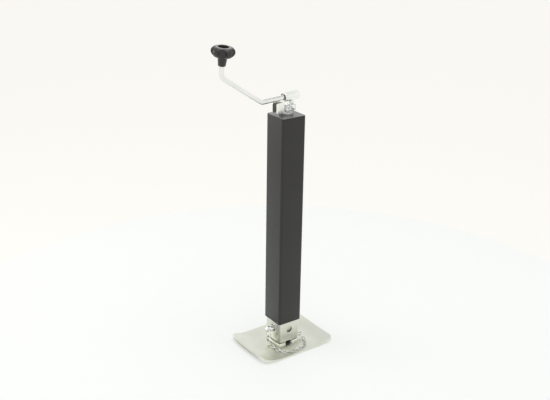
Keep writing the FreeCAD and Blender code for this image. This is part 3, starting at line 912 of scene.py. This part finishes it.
@dataclass(frozen=True)
class DropLeg:
    """The leg that drops out of the ram, and its foot.

    Args:
        tube: The leg.
        hole: Diameter of the pin's holes.
        hole_count: Rows of holes.
        hole_pitch: Distance between rows.
        pin_height: Height of the lowest row.
        drain: Width of the drain slot.
        drain_centre: Height of the drain's centre over the leg's lower end.
        thickness: The plate's thickness.
        corner: Corner radius of the plate.
        flange: Length of the straight end past each bend.
        bend_radius: Outer radius of the bends.
        bend_angle: Turn of the bends, in degrees.
        dish: How much more the corners turn up than the middle of an end, as a share.
        bow: How far the left edge bows outwards, as a share of the plate's length.
        bow_rest: Share of that bow at the other edges.
        plate_round: Rounding of the plate's edges.
        weld: Leg length of the weld.
        ripple: Pitch of the weld's ripples.
        weld_sink: How far its surface lies under the plain section.
        weld_root: How far its edges reach into the leg and the plate.
        weld_cells: Cells of the bead along half the leg's outline, and across.
    """

    tube: SquareTube = SquareTube("drop_leg", corner=4.5 * MM)
    hole: float = 16.7 * MM
    hole_count: int = 7
    hole_pitch: float = 57.15 * MM
    pin_height: float = 46 * MM
    drain: float = 16 * MM
    drain_centre: float = 2.5 * MM
    thickness: float = 5 * MM
    corner: float = 12 * MM
    flange: float = 3 * MM
    bend_radius: float = 135 * MM
    bend_angle: float = 20.0
    dish: float = 0.5
    bow: float = 0.05
    bow_rest: float = 0.4
    plate_round: float = 0.9 * MM
    weld: float = 6 * MM
    ripple: float = 2.6 * MM
    weld_sink: float = 0.15 * MM
    weld_root: float = 0.2 * MM
    weld_cells: tuple[int, int] = (420, 14)

    def make_leg(self) -> None:
        """Makes the leg with its rows of holes and its two drain slots."""
        box = Box.of("drop_leg")
        item = self.tube.build("drop_leg_plated")
        for number in range(self.hole_count):
            height = self.pin_height + number * self.hole_pitch
            item = drilled(item, self.hole / 2, Z_AXIS * height, X_AXIS * box.size.x, 40)
        item = drilled(item, self.drain / 2, Z_AXIS * (box.low.z + self.drain_centre), Y_AXIS * box.size.y)
        self.tube.dress(item, ZINC, Body.FOOT)

    @property
    def bend(self) -> tuple[float, float, float]:
        """Turn of the plate's bends, their length along the plate, and where they start."""
        turn = math.radians(self.bend_angle)
        reach = self.bend_radius * math.sin(turn)
        return turn, reach, Box.of("foot_plate").high.x - reach - self.flange * math.cos(turn)

    def sole_height(self, x: float) -> float:
        """Height of the plate's underside at a distance along it."""
        turn, reach, start = self.bend
        beyond = max(abs(x) - start, 0)
        if beyond < reach:
            return self.bend_radius - math.sqrt(self.bend_radius ** 2 - beyond ** 2)
        return self.bend_radius * (1 - math.cos(turn)) + (beyond - reach) * math.tan(turn)

    def make_plate(self) -> None:
        """Makes the plate: a sheet with round corners, bent up at both ends."""
        box = Box.of("foot_plate")
        select_only()
        bpy.ops.mesh.primitive_plane_add(size=1)
        item = settled("foot_plate_plated")
        moved(item, Matrix.Diagonal((box.size.x, box.size.y, 1, 1)))
        edit(item, lambda: bpy.ops.mesh.bevel(offset=self.corner, segments=14, affect="VERTICES"))
        _, reach, start = self.bend
        steps = 16
        cuts = [(X_AXIS * side * (start + reach * number / steps), X_AXIS)
                for number in range(steps + 1) for side in (-1, 1)]
        cuts += [(Y_AXIS * (box.low.y + box.size.y * number / steps), Y_AXIS) for number in range(1, steps)]
        for at, across in cuts:
            edit(item, lambda: bpy.ops.mesh.bisect(plane_co=at, plane_no=across))
        for point in item.data.vertices:
            along, across = point.co.x / box.high.x, point.co.y / box.high.y
            height = self.sole_height(point.co.x) * (1 - self.dish / 2 + self.dish * across ** 2)
            bow = self.bow if along < 0 else self.bow_rest * self.bow
            x = point.co.x * (1 + bow * (1 - across ** 4))
            point.co = (x, point.co.y * (1 + self.bow_rest * self.bow * (1 - along ** 2)), height)
        item = walled(item, self.thickness, 1)
        dress(smooth(rounded(outward(item), self.plate_round, 4)), FOOT_ZINC, Body.FOOT, "foot_plate")

    @property
    def straight(self) -> float:
        """Half of the straight part of the leg's side."""
        return Box.of("drop_leg").high.x - self.tube.corner

    def weld_path(self, distance: float) -> tuple[Vector, Vector]:
        """Point and outward direction at a distance along one half of the leg's outline.

        Args:
            distance: Distance from the edge of the front drain slot.

        Returns:
            The point on the leg and the direction away from it.
        """
        radius = self.tube.corner
        straight = self.straight
        quarter = math.pi / 2 * radius
        runs = ((self.drain / 2, straight - self.drain / 2), (-straight, 2 * straight), (-straight, math.inf))
        for side, (start, run) in enumerate(runs):
            if distance < run:
                point, away = Vector((start + distance, Box.of("drop_leg").low.y, 0)), -Y_AXIS
                break
            distance -= run
            if distance < quarter:
                away = Vector((math.sin(distance / radius), -math.cos(distance / radius), 0))
                point = Vector((straight, -straight, 0)) + away * radius
                break
            distance -= quarter
        return quarter_turned(point, side), quarter_turned(away, side)

    def weld_place(self, u: float, v: float) -> Vector:
        """Point of the bead: u runs along it, v round its section."""
        length = 2 * (self.straight - self.drain / 2) + math.pi * self.tube.corner + 2 * self.straight
        distance = u * length
        point, away = self.weld_path(min(distance, length - 1e-6))
        base = point + Z_AXIS * Box.of("drop_leg").low.z
        to_end = min(distance, length - distance) / self.weld
        fade = math.sqrt(max(0, 1 - (1 - min(to_end, 1)) ** 2))
        if v in (0, 1):
            return base - (away + Z_AXIS) * self.weld_root
        across = self.weld_cells[1]
        turn = math.pi / 2 * (v * across - 1) / (across - 2)
        bulge = 1 + 0.3 * math.sin(2 * turn)
        wave = math.sin(2 * math.pi * (distance / self.ripple + 0.25 * math.sin(2 * turn)))
        sway = 0.05 * math.sin(distance / (7 * MM)) + 0.04 * math.sin(distance / (2.9 * MM) + 1)
        reach = self.weld / (math.cos(turn) + math.sin(turn)) * bulge * (1 + 0.055 * wave + sway)
        reach = min(reach, self.weld * 0.97) * fade
        out, up = reach * math.cos(turn) - self.weld_sink, reach * math.sin(turn) - self.weld_sink
        return base + away * out + Z_AXIS * up

    def make_weld(self) -> None:
        """Makes both halves of the rippled bead round the leg."""
        right = surface("foot_weld_bead", *self.weld_cells, self.weld_place)
        mirror = Vector((-1, 1, 1))
        left = surface("foot_weld_left", *self.weld_cells, lambda u, v: self.weld_place(u, v) * mirror)
        dress(smooth(joined("foot_weld_bead", right, left), 60), WELD_ZINC, Body.FOOT, "foot_weld")

    def build(self) -> None:
        """Makes the leg, its plate and the weld between them."""
        self.make_leg()
        self.make_plate()
        self.make_weld()


@dataclass(frozen=True)
class PullPin:
    """The pull pin with its flattened head, its ring and its chain.

    Args:
        neck: Distance from the ram to where the shank turns flat.
        flat: Thickness of the flattened head.
        press: Length over which the round shank turns flat.
        eye: Diameter of the eye.
        eye_edge: Distance of the eye from the head's end.
        chamfer: Chamfer of the tip.
        rounding: Rounding of the pressed edges and of the eye.
        ring_gap: Gap between the ends of the ring's wire, in degrees.
    """

    neck: float = 7.5 * MM
    flat: float = 8.4 * MM
    press: float = 3.5 * MM
    eye: float = 7 * MM
    eye_edge: float = 7.5 * MM
    chamfer: float = 2 * MM
    rounding: float = 0.9 * MM
    ring_gap: float = 2.5

    def stations(self) -> list[tuple[float, float, float]]:
        """Sections from tip to head: place along X, share of the width, share of the thickness."""
        box = Box.of("pull_pin")
        radius = box.size.z / 2
        shoulder = Box.of("ram_tube").low.x - self.neck
        small = (radius - self.chamfer) / radius
        flat = self.flat / 2 / radius
        found = [(box.high.x, 0.0, 0.0), (box.high.x, small, small), (box.high.x - self.chamfer, 1.0, 1.0)]
        for step in range(9):
            ease = step / 8 * step / 8 * (3 - 2 * step / 8)
            found.append((shoulder - self.press * step / 8, 1.0, 1 + (flat - 1) * ease))
        for step in range(13):
            turn = math.pi / 2 * step / 12
            width = max(math.cos(turn), 0.0)
            found.append((box.low.x + radius - radius * math.sin(turn), width, flat * min(1, 5 * width)))
        return found

    def make_pin(self) -> None:
        """Makes the pin as one forged form, with the eye drilled through its flat."""
        box = Box.of("pull_pin")
        radius = box.size.z / 2
        height = box.centre.z
        stations = self.stations()

        def place(u: float, v: float) -> Vector:
            """Point of the pin: u runs from tip to head, v round it."""
            x, width, thickness = stations[round(u * (len(stations) - 1))]
            turn = 2 * math.pi * (v % 1)
            power = 1 - 0.6 * max(0, 1 - thickness / max(width, 0.01))
            side = math.copysign(abs(math.sin(turn)) ** power, math.sin(turn))
            return Vector((x, radius * thickness * side, height + radius * width * math.cos(turn)))

        item = surface("pull_pin_forged", len(stations) - 1, 72, place)
        centre = Vector((box.low.x + self.eye_edge, 0, height))
        item = drilled(item, self.eye / 2, centre, Y_AXIS * radius, 48)
        dress(smooth(rounded(item, self.rounding, 3, 50), 40), BRIGHT, Body.PIN, "pull_pin")

    def make_ring(self) -> None:
        """Makes the ring, a bent wire whose ends meet at the bottom."""
        box = Box.of("pin_ring")
        wire = box.size.x / 2
        radius = box.size.y / 2 - wire
        gap = math.radians(self.ring_gap)
        count = 72
        turns = [-math.pi / 2 + gap / 2 + (2 * math.pi - gap) * step / count for step in range(count + 1)]
        points = [box.centre + Vector((0, math.cos(turn), math.sin(turn))) * radius for turn in turns]
        dress(smooth(bar("pin_ring_bent", points, wire, (0.8, 0.8))), BRIGHT, Body.PIN, "pin_ring")

    def make_chain(self) -> None:
        """Makes the chain, which hangs from the ring at one end and from the ram at the other."""
        chain = refined("pin_chain", "pin_chain_links", 0.05 * MM, 1)
        paint(chain, CHAIN_ZINC)
        ring = Box.of("pin_ring")
        anchor = Box.of("chain_anchor")
        tuple(anchor.low)
        tuple(ring.low)
        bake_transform(chain)
        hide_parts("pin_chain")
        log.info("%s: bends between ram and pin", chain.name)

    def build(self) -> None:
        """Makes the pin, the ring and the chain."""
        self.make_pin()
        self.make_ring()
        self.make_chain()


@dataclass(frozen=True)
class Crank:
    """The folding crank head and its rod, drawn with the knob towards +X and the cap's top at zero.

    Args:
        turn: Turn of the head about the screw, in degrees.
        rod: Rod diameter.
        sleeve: Outer diameter of the tee's sleeve.
        sleeve_height: Height of its axis over the cap.
        sleeve_front: Front end of the sleeve.
        sleeve_length: Length of the sleeve.
        mouth: Diameter of the recess in each end of the sleeve, which holds a retaining ring.
        mouth_depth: Its depth.
        stem: Diameter of the tee's stem at its shoulder.
        stem_top: Diameter of the stem where it meets the sleeve's axis.
        pivot_back: Distance of the fold pivot behind the screw.
        pivot_height: Height of the pivot.
        pin_radius: Radius of the fold pin.
        pin_half: Half of the fold pin's length.
        head_radius: Radius of its heads.
        head_height: Height of its heads.
        tongue: Thickness of the tee's tongue.
        tongue_radius: Radius of its end.
        shoulder: Height of the stem's shoulder over the pivot.
        tail: How far the rod stands out behind the sleeve.
        run: Distance of the rod's first bend.
        first_radius: Radius of that bend.
        reach: Distance of the rod's second bend.
        rise: How far the arm rises.
        second_radius: Radius of the second bend.
        lean: Lean of the upright end, in degrees.
        stub: Length of the upright end below the knob.
        tail_taper: Length of the taper at the rod's rear end, and share of the radius left there.
        top_taper: The same under the knob.
        roll: How far the crank rests turned in the sleeve, in degrees.
        spindle: Diameter of the knob's spindle.
        spindle_length: Its length.
        spindle_round: Rounding of its end.
        clearance: Gap round the rod and the fold pin.
        voxel: Fineness of the tee's blended skin.
    """

    turn: float = 188.0
    rod: float = 12 * MM
    sleeve: float = 22 * MM
    sleeve_height: float = 42 * MM
    sleeve_front: float = 11 * MM
    sleeve_length: float = 44 * MM
    mouth: float = 18.4 * MM
    mouth_depth: float = 5 * MM
    stem: float = 15 * MM
    stem_top: float = 18.5 * MM
    pivot_back: float = 15 * MM
    pivot_height: float = 16 * MM
    pin_radius: float = 3.9 * MM
    pin_half: float = 11.4 * MM
    head_radius: float = 6.25 * MM
    head_height: float = 2.8 * MM
    tongue: float = 8 * MM
    tongue_radius: float = 7.3 * MM
    shoulder: float = 10.6 * MM
    tail: float = 5.4 * MM
    run: float = 80 * MM
    first_radius: float = 22 * MM
    reach: float = 206.2 * MM
    rise: float = 80.5 * MM
    second_radius: float = 20 * MM
    lean: float = 1.0
    stub: float = 25.4 * MM
    tail_taper: tuple[float, float] = (0.9 * MM, 0.86)
    top_taper: tuple[float, float] = (0.8 * MM, 0.9)
    roll: float = 7.0
    spindle: float = 10 * MM
    spindle_length: float = 34.6 * MM
    spindle_round: float = 0.8 * MM
    clearance: float = 0.1 * MM
    voxel: float = 0.45 * MM

    @property
    def seat(self) -> Matrix:
        """Takes what is drawn here to its place on the jack."""
        turn = Matrix.Rotation(math.radians(self.turn), 4, "Z")
        return Matrix.Translation(Z_AXIS * Column().cap_top) @ turn

    @property
    def rod_seat(self) -> Matrix:
        """Takes the rod as drawn, upright, to where it rests in the sleeve."""
        axis = Z_AXIS * self.sleeve_height
        roll = Matrix.Rotation(-math.radians(self.roll), 4, "X")
        return self.seat @ Matrix.Translation(axis) @ roll @ Matrix.Translation(-axis)

    @property
    def pivot(self) -> Vector:
        """Middle of the fold pin."""
        return Vector((-self.pivot_back, 0, self.pivot_height))

    @property
    def upright(self) -> Vector:
        """Direction of the rod's upright end."""
        lean = math.radians(self.lean)
        return Vector((-math.sin(lean), 0, math.cos(lean)))

    @property
    def corners(self) -> list[Vector]:
        """Ends and bends of the rod's axis."""
        tail = Vector((self.sleeve_front - self.sleeve_length - self.tail, 0, self.sleeve_height))
        first = Vector((self.run, 0, self.sleeve_height))
        second = Vector((self.reach, 0, self.sleeve_height + self.rise))
        return [tail, first, second, second + self.upright * self.stub]

    @property
    def knob_seat(self) -> Matrix:
        """Takes what is drawn about Z to the rod's upright end."""
        lean = Matrix.Rotation(-math.radians(self.lean), 4, "Y")
        return self.rod_seat @ Matrix.Translation(self.corners[3]) @ lean

    def make_rod(self) -> None:
        """Makes the rod, bent from one bar, with its thinner spindle."""
        tail, first, second, end = self.corners
        along = (first - tail).normalized()
        points = [tail, tail + along * self.tail_taper[0]]
        points += arc_corner(tail, first, second, self.first_radius)
        points += arc_corner(first, second, end, self.second_radius)
        points += [end - self.upright * self.top_taper[0], end]
        item = bar("crank_rod_bent", points, self.rod / 2, (self.tail_taper[1], self.top_taper[1]))
        ends = end - self.upright * MM, end + self.upright * self.spindle_length
        spindle = cylinder("spindle", self.spindle / 2, *ends)
        item = combined(item, rounded(spindle, self.spindle_round, 2), "UNION")
        dress(smooth(moved(item, self.rod_seat)), BRIGHT, Body.CRANK, "crank_rod")
        dress(refined("rod_clips", "rod_clips_plated", 0.3 * MM), SPRING, Body.CRANK, "rod_clips")

    def make_tee(self) -> None:
        """Makes the tee: a sleeve on a stem, with a flat tongue, blended as in a forging."""
        low_x = self.sleeve_front - self.sleeve_length
        axis = Z_AXIS * self.sleeve_height
        pivot = self.pivot
        shoulder = pivot + Z_AXIS * self.shoulder
        half = Y_AXIS * self.tongue / 2
        # The flat block is a little smaller than the round forms that it joins.
        side = X_AXIS * (self.tongue_radius - 0.01 * MM)
        top = Vector((-self.pivot_back, 0, self.sleeve_height))
        ends = axis + X_AXIS * low_x, axis + X_AXIS * self.sleeve_front
        item = cylinder("tee_head_forged", self.sleeve / 2, *ends)
        stem = cylinder("stem", self.stem / 2, shoulder, top, end_radius=self.stem_top / 2)
        tongue_end = cylinder("tongue_end", self.tongue_radius, pivot - half, pivot + half)
        flat = block("tongue", pivot - half * 0.999 - side, shoulder + Z_AXIS * MM + half * 0.999 + side)
        for form in (stem, tongue_end, flat):
            item = combined(item, form, "UNION")
        item = modified(item, "REMESH", mode="VOXEL", voxel_size=self.voxel)
        item = modified(item, "SMOOTH", factor=0.5, iterations=10)
        ends = axis + X_AXIS * (low_x - MM), axis + X_AXIS * (self.sleeve_front + MM)
        item = combined(item, cylinder("sleeve_bore", self.rod / 2 + self.clearance, *ends))
        for end, side in ((low_x, -1), (self.sleeve_front, 1)):
            face = Matrix.Translation(axis + X_AXIS * end) @ Matrix.Rotation(side * math.pi / 2, 4, "Y")
            item = combined(item, moved(turned("mouth_cutter", self.mouth_outline()), face))
        item = drilled(item, self.pin_radius + self.clearance, pivot, Y_AXIS * self.tongue)
        dress(smooth(moved(item, self.seat)), HEAD_ZINC, Body.TEE, "tee_head")

    def mouth_outline(self) -> Outline:
        """Half section of what is bored out of one end of the sleeve, with a chamfered edge."""
        radius = self.mouth / 2
        chamfer = 0.5 * MM
        wide = radius + 2 * chamfer
        outline = [(0, -self.mouth_depth), (radius, -self.mouth_depth), (radius, -chamfer), (wide, chamfer)]
        return outline + [(wide, 2 * chamfer), (0, 2 * chamfer), (0, -self.mouth_depth)]

    def make_pivot(self) -> None:
        """Makes the fold pin, riveted over at both ends."""
        turns = [math.radians(12 * step) for step in range(1, 8)]
        outline = [(0.0, -self.pin_half)]
        for turn in turns:
            height = self.head_height * (1 - math.cos(turn))
            outline.append((self.head_radius * math.sin(turn) ** 0.8, -self.pin_half + height))
        brim = self.head_height - self.pin_half
        outline += [(self.head_radius, brim), (self.pin_radius, brim)]
        outline += [(radius, -height) for radius, height in reversed(outline)]
        item = turned("fold_pin_riveted", outline, 48)
        seat = self.seat @ Matrix.Translation(self.pivot) @ Matrix.Rotation(math.pi / 2, 4, "X")
        dress(smooth(moved(item, seat)), BRIGHT, Body.SCREW, "fold_pin")

    def make_head(self) -> None:
        """Makes the yoke and the saddle that carry the tee."""
        dress(refined("head_yoke", "head_yoke_machined", 0.6 * MM, 3), YOKE_ZINC, Body.SCREW, "head_yoke")
        dress(refined("rod_saddle", "rod_saddle_pressed", 0.5 * MM, 3), SADDLE_ZINC, Body.SCREW, "rod_saddle")
        keep(SPRING, "yoke_pin", "screw_stop_pin")
        keep(OILED, "lead_screw")

    def build(self) -> None:
        """Makes the head, the tee and the rod."""
        self.make_head()
        self.make_pivot()
        self.make_tee()
        self.make_rod()


@dataclass(frozen=True)
class Knob:
    """The fluted knob, drawn about Z with its stem's foot at zero.

    Args:
        crank: The crank that carries it.
        gap: Gap under the knob.
        radius: Radius over the lobes.
        height: Whole height.
        stem_height: Height of the stem.
        stem_lower: Radius of the stem's foot.
        stem_upper: Radius of the stem under the dome.
        lobes: Number of lobes.
        flute_turn: Turn of the first flute from the crank's direction, in degrees.
        flute_radius: Radius of the flutes.
        flute_depth: Their depth at the rim.
        flute_round: Rounding between flute and lobe.
        recess: Radius of the recess in the crown.
        recess_depth: Its depth.
        crown_brim: Radius where the crown's flat cone turns down.
        crown_fall: How far it has fallen there.
        plain: How far past the recess the crown stays round.
        crown_highlight: Depths under the top between which the crown is painted pale, as a painted highlight.
    """

    crank: Crank = Crank()
    gap: float = 0.3 * MM
    radius: float = 26.4 * MM
    height: float = 42.2 * MM
    stem_height: float = 18.8 * MM
    stem_lower: float = 8.5 * MM
    stem_upper: float = 10.5 * MM
    lobes: int = 5
    flute_turn: float = 46.5
    flute_radius: float = 10 * MM
    flute_depth: float = 7.4 * MM
    flute_round: float = 0.9 * MM
    recess: float = 12.25 * MM
    recess_depth: float = 11.2 * MM
    crown_brim: float = 17.5 * MM
    crown_fall: float = 1.5 * MM
    plain: float = 2 * MM
    crown_highlight: tuple[float, float] = (1.6 * MM, 0.4 * MM)

    def profile(self) -> Outline:
        """Half section from the spindle's bore round the stem, the dome, the crown and the recess."""
        bore = self.crank.spindle / 2 + self.crank.clearance
        waist = self.stem_height + 0.5 * (self.height - self.stem_height)
        crown = self.recess + self.plain / 2
        floor = self.height - self.recess_depth
        points = [(bore, 0.0), (self.stem_lower - 0.8 * MM, 0.0), (self.stem_lower - 0.2 * MM, 0.25 * MM)]
        points += [(self.stem_lower + 0.05 * MM, 1 * MM), (self.stem_upper, self.stem_height - 1 * MM)]
        for step in range(1, 15):
            turn = math.pi / 2 * step / 14
            radius = self.stem_upper + (self.radius - self.stem_upper) * math.sin(turn) ** 0.85
            points.append((radius, waist - (waist - self.stem_height) * max(math.cos(turn), 0) ** 1.1))
        shoulder = self.height - self.crown_fall
        for step in range(1, 13):
            turn = math.radians(78) * step / 12
            radius = self.crown_brim + (self.radius - self.crown_brim) * math.cos(turn)
            points.append((radius, waist + (shoulder - waist) * math.sin(turn)))
        points += [(crown, self.height), (self.recess + 0.3 * MM, self.height - 0.3 * MM)]
        points += [(self.recess, self.height - 1 * MM), (self.recess - 0.4 * MM, floor + 0.6 * MM)]
        return points + [(self.recess - 1 * MM, floor), (bore, floor), (bore, 0.0)]

    def fluted(self, radius: float, turn: float) -> float:
        """Radius of the knob at a turn, where the round body meets a flute softly."""
        if radius <= self.recess + self.plain:
            return radius
        pitch = 2 * math.pi / self.lobes
        off = (turn - math.radians(self.flute_turn) + pitch / 2) % pitch - pitch / 2
        centre = self.radius + self.flute_radius - self.flute_depth
        across = abs(centre * math.sin(off))
        chord = self.flute_radius ** 2 - across ** 2
        cut = centre * math.cos(off)
        cut += -math.sqrt(chord) if chord > 0 else across - self.flute_radius
        mix = max(self.flute_round - abs(radius - cut), 0) / self.flute_round
        return min(radius, cut) - mix * mix * self.flute_round / 4

    def build(self) -> None:
        """Makes the knob and the push nut that holds it."""
        item = turned("knob_moulded", self.profile(), 200, self.fluted)
        seat = self.crank.knob_seat @ Matrix.Translation(Z_AXIS * self.gap)
        axis = tuple(seat.col[2].xyz)
        top = seat.translation.dot(seat.col[2].xyz) + self.height
        # The crown's rim is painted pale between these depths: a painted highlight.
        grip = replace(GRIP, axis=axis, crown=tuple(top - depth for depth in self.crown_highlight))
        dress(smooth(moved(item, seat), 40), grip, Body.GRIP, "knob")
        dress(refined("knob_push_nut", "push_nut_pressed", 0.2 * MM), SPRING, Body.CRANK, "knob_push_nut")


@dataclass(frozen=True)
class Panel:
    """A square soft light that faces the middle of the jack.

    Args:
        name: The lamp's name.
        place: Where it stands.
        size: Length of its sides.
        watts: Its power.
        target: Point that it faces.
    """

    name: str
    place: Triple
    size: float
    watts: float
    target: Triple = (0.0, 0.0, 0.3)

    def build(self) -> None:
        """Makes the lamp."""
        data = bpy.data.lights.new(self.name, "AREA")
        data.shape = "SQUARE"
        data.size = self.size
        data.energy = self.watts
        aim = (Vector(self.place) - Vector(self.target)).to_track_quat("Z", "Y").to_matrix().to_4x4()
        new_object(self.name, data).matrix_world = Matrix.Translation(self.place) @ aim


def lit_paper(name: str, colour: Triple, shade: float, glow: float) -> bpy.types.Material:
    """A matt white that the camera and mirrors see as bright as studio paper.

    Args:
        name: The material's name.
        colour: Its colour.
        shade: Share of the light that it throws back.
        glow: What the camera and mirrors see of it beyond the light that falls on it.

    Returns:
        The material.
    """
    material = bpy.data.materials.new(name)
    graph = Graph(material)
    graph.feed("Principled BSDF", {
        "Base Color": (*(part * shade for part in colour), 1),
        "Roughness": 0.7,
        "Specular IOR Level": 0.1,
        "Emission Color": (*colour, 1),
        "Emission Strength": graph.number("MULTIPLY", graph.seen(), glow),
    })
    return material


@dataclass(frozen=True)
class Studio:
    """The pale floor, the soft light and the camera.

    Args:
        yaw: Camera's turn about the jack, in degrees from straight in front.
        pitch: Its height angle, in degrees.
        roll: Its roll, in degrees.
        eye: Its place.
        lens: Focal length, in millimetres.
        film: Width of the film, in millimetres.
        table_centre: Middle of the table's top.
        table_radius: Radius of the table.
        table_thickness: Thickness of its top.
        table_round: Rounding of its edge.
        table_height: Height of the table over the paper.
        table_glow: What the camera and mirrors see of the table beyond the light that falls on it.
        paper_glow: What they see of the paper.
        paper_size: Width of the paper.
        sky: Strength of the surround's light.
        pale: Colour of the surround in a mirror.
        dark: Colour of the dark seam in it.
        seam: Height angles, in degrees, at which the seam sets in, is dark, ends and is over.
        panels: The lamps.
    """

    yaw: float = -35.482
    pitch: float = 21.732
    roll: float = 0.858
    eye: Triple = (-1.1640, -1.5926, 1.1770)
    lens: float = 57.10
    film: float = 36.0
    table_centre: Triple = (-0.023, -0.057, 0.0)
    table_radius: float = 0.99
    table_thickness: float = 0.018
    table_round: float = 1.5 * MM
    table_height: float = 0.75
    table_glow: float = 0.35
    paper_glow: float = 0.6
    paper_size: float = 60.0
    sky: float = 0.72
    pale: Triple = (1.0, 0.995, 0.975)
    dark: Triple = (0.3, 0.3, 0.3)
    seam: tuple[float, ...] = (37.0, 40.0, 44.0, 47.0)
    panels: tuple[Panel, ...] = (
        Panel("overhead_panel", (0.2, -0.5, 3.4), 3.0, 31.0),
        Panel("left_panel", (-2.6, 2.4, 1.5), 2.4, 24.0))

    def make_camera(self) -> None:
        """Makes the camera where the photographer stood."""
        yaw, pitch, roll = (math.radians(angle) for angle in (self.yaw, self.pitch, self.roll))
        back = Vector((math.sin(yaw) * math.cos(pitch), -math.cos(yaw) * math.cos(pitch), math.sin(pitch)))
        right = Vector((math.cos(yaw), math.sin(yaw), 0))
        up = back.cross(right)
        side = right * math.cos(roll) + up * math.sin(roll)
        up = up * math.cos(roll) - right * math.sin(roll)
        data = bpy.data.cameras.new("camera")
        data.sensor_width = self.film
        data.sensor_fit = "HORIZONTAL"
        data.lens = self.lens
        camera = new_object("camera", data)
        turn = Matrix((side, up, back)).transposed().to_4x4()
        camera.matrix_world = Matrix.Translation(self.eye) @ turn
        bpy.context.scene.camera = camera

    def make_table(self) -> None:
        """Makes the round white table that the jack stands on."""
        centre = Vector(self.table_centre)
        under = centre - Z_AXIS * self.table_thickness
        table = cylinder("studio_table", self.table_radius, under, centre, 192)
        smooth(rounded(table, self.table_round))
        top = lit_paper("studio_table_top", (0.985, 1.0, 0.985), 0.65, self.table_glow)
        table.data.materials.append(top)

    def make_backdrop(self) -> None:
        """Makes the paper under and behind the table, which reaches past the top of the picture."""
        select_only()
        bpy.ops.mesh.primitive_plane_add(size=self.paper_size, location=(0, 0, -self.table_height))
        backdrop = settled("studio_backdrop")
        paper = lit_paper("studio_backdrop_paper", (1.0, 0.985, 0.94), 0.45, self.paper_glow)
        backdrop.data.materials.append(paper)

    def make_world(self) -> None:
        """Makes the white surround, plainer for what lights the jack than for what it mirrors."""
        world = bpy.data.worlds.new("studio")
        bpy.context.scene.world = world
        graph = Graph(world, "Generated")
        graph.feed("Background", {"Color": (1.0, 1.0, 0.99, 1), "Strength": self.sky})
        heights = (math.sin(math.radians(angle)) for angle in self.seam)
        mirrored = graph.ramp(graph.part("Z"), *zip(heights, (self.pale, self.dark, self.dark, self.pale)))
        seen = graph.add("Background", {"Color": mirrored, "Strength": 1.0})
        lit = graph.tree.nodes["Background"].outputs[0]
        mixed = graph.add("MixShader", {"Fac": graph.seen(), 1: lit, 2: seen})
        graph.feed("World Output", {"Surface": mixed})

    def build(self) -> None:
        """Makes everything that isn't part of the jack."""
        bpy.context.scene.view_settings.view_transform = "Standard"
        self.make_camera()
        self.make_table()
        self.make_backdrop()
        self.make_world()
        for panel in self.panels:
            panel.build()


def main() -> None:
    """Builds the stage and the jack."""
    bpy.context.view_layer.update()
    Studio().build()
    for part in (Column(), Ram(), DropLeg(), PullPin(), Crank(), Knob()):
        part.build()
        log.info("%s done", type(part).__name__)


if __name__ == "__main__":
    main()
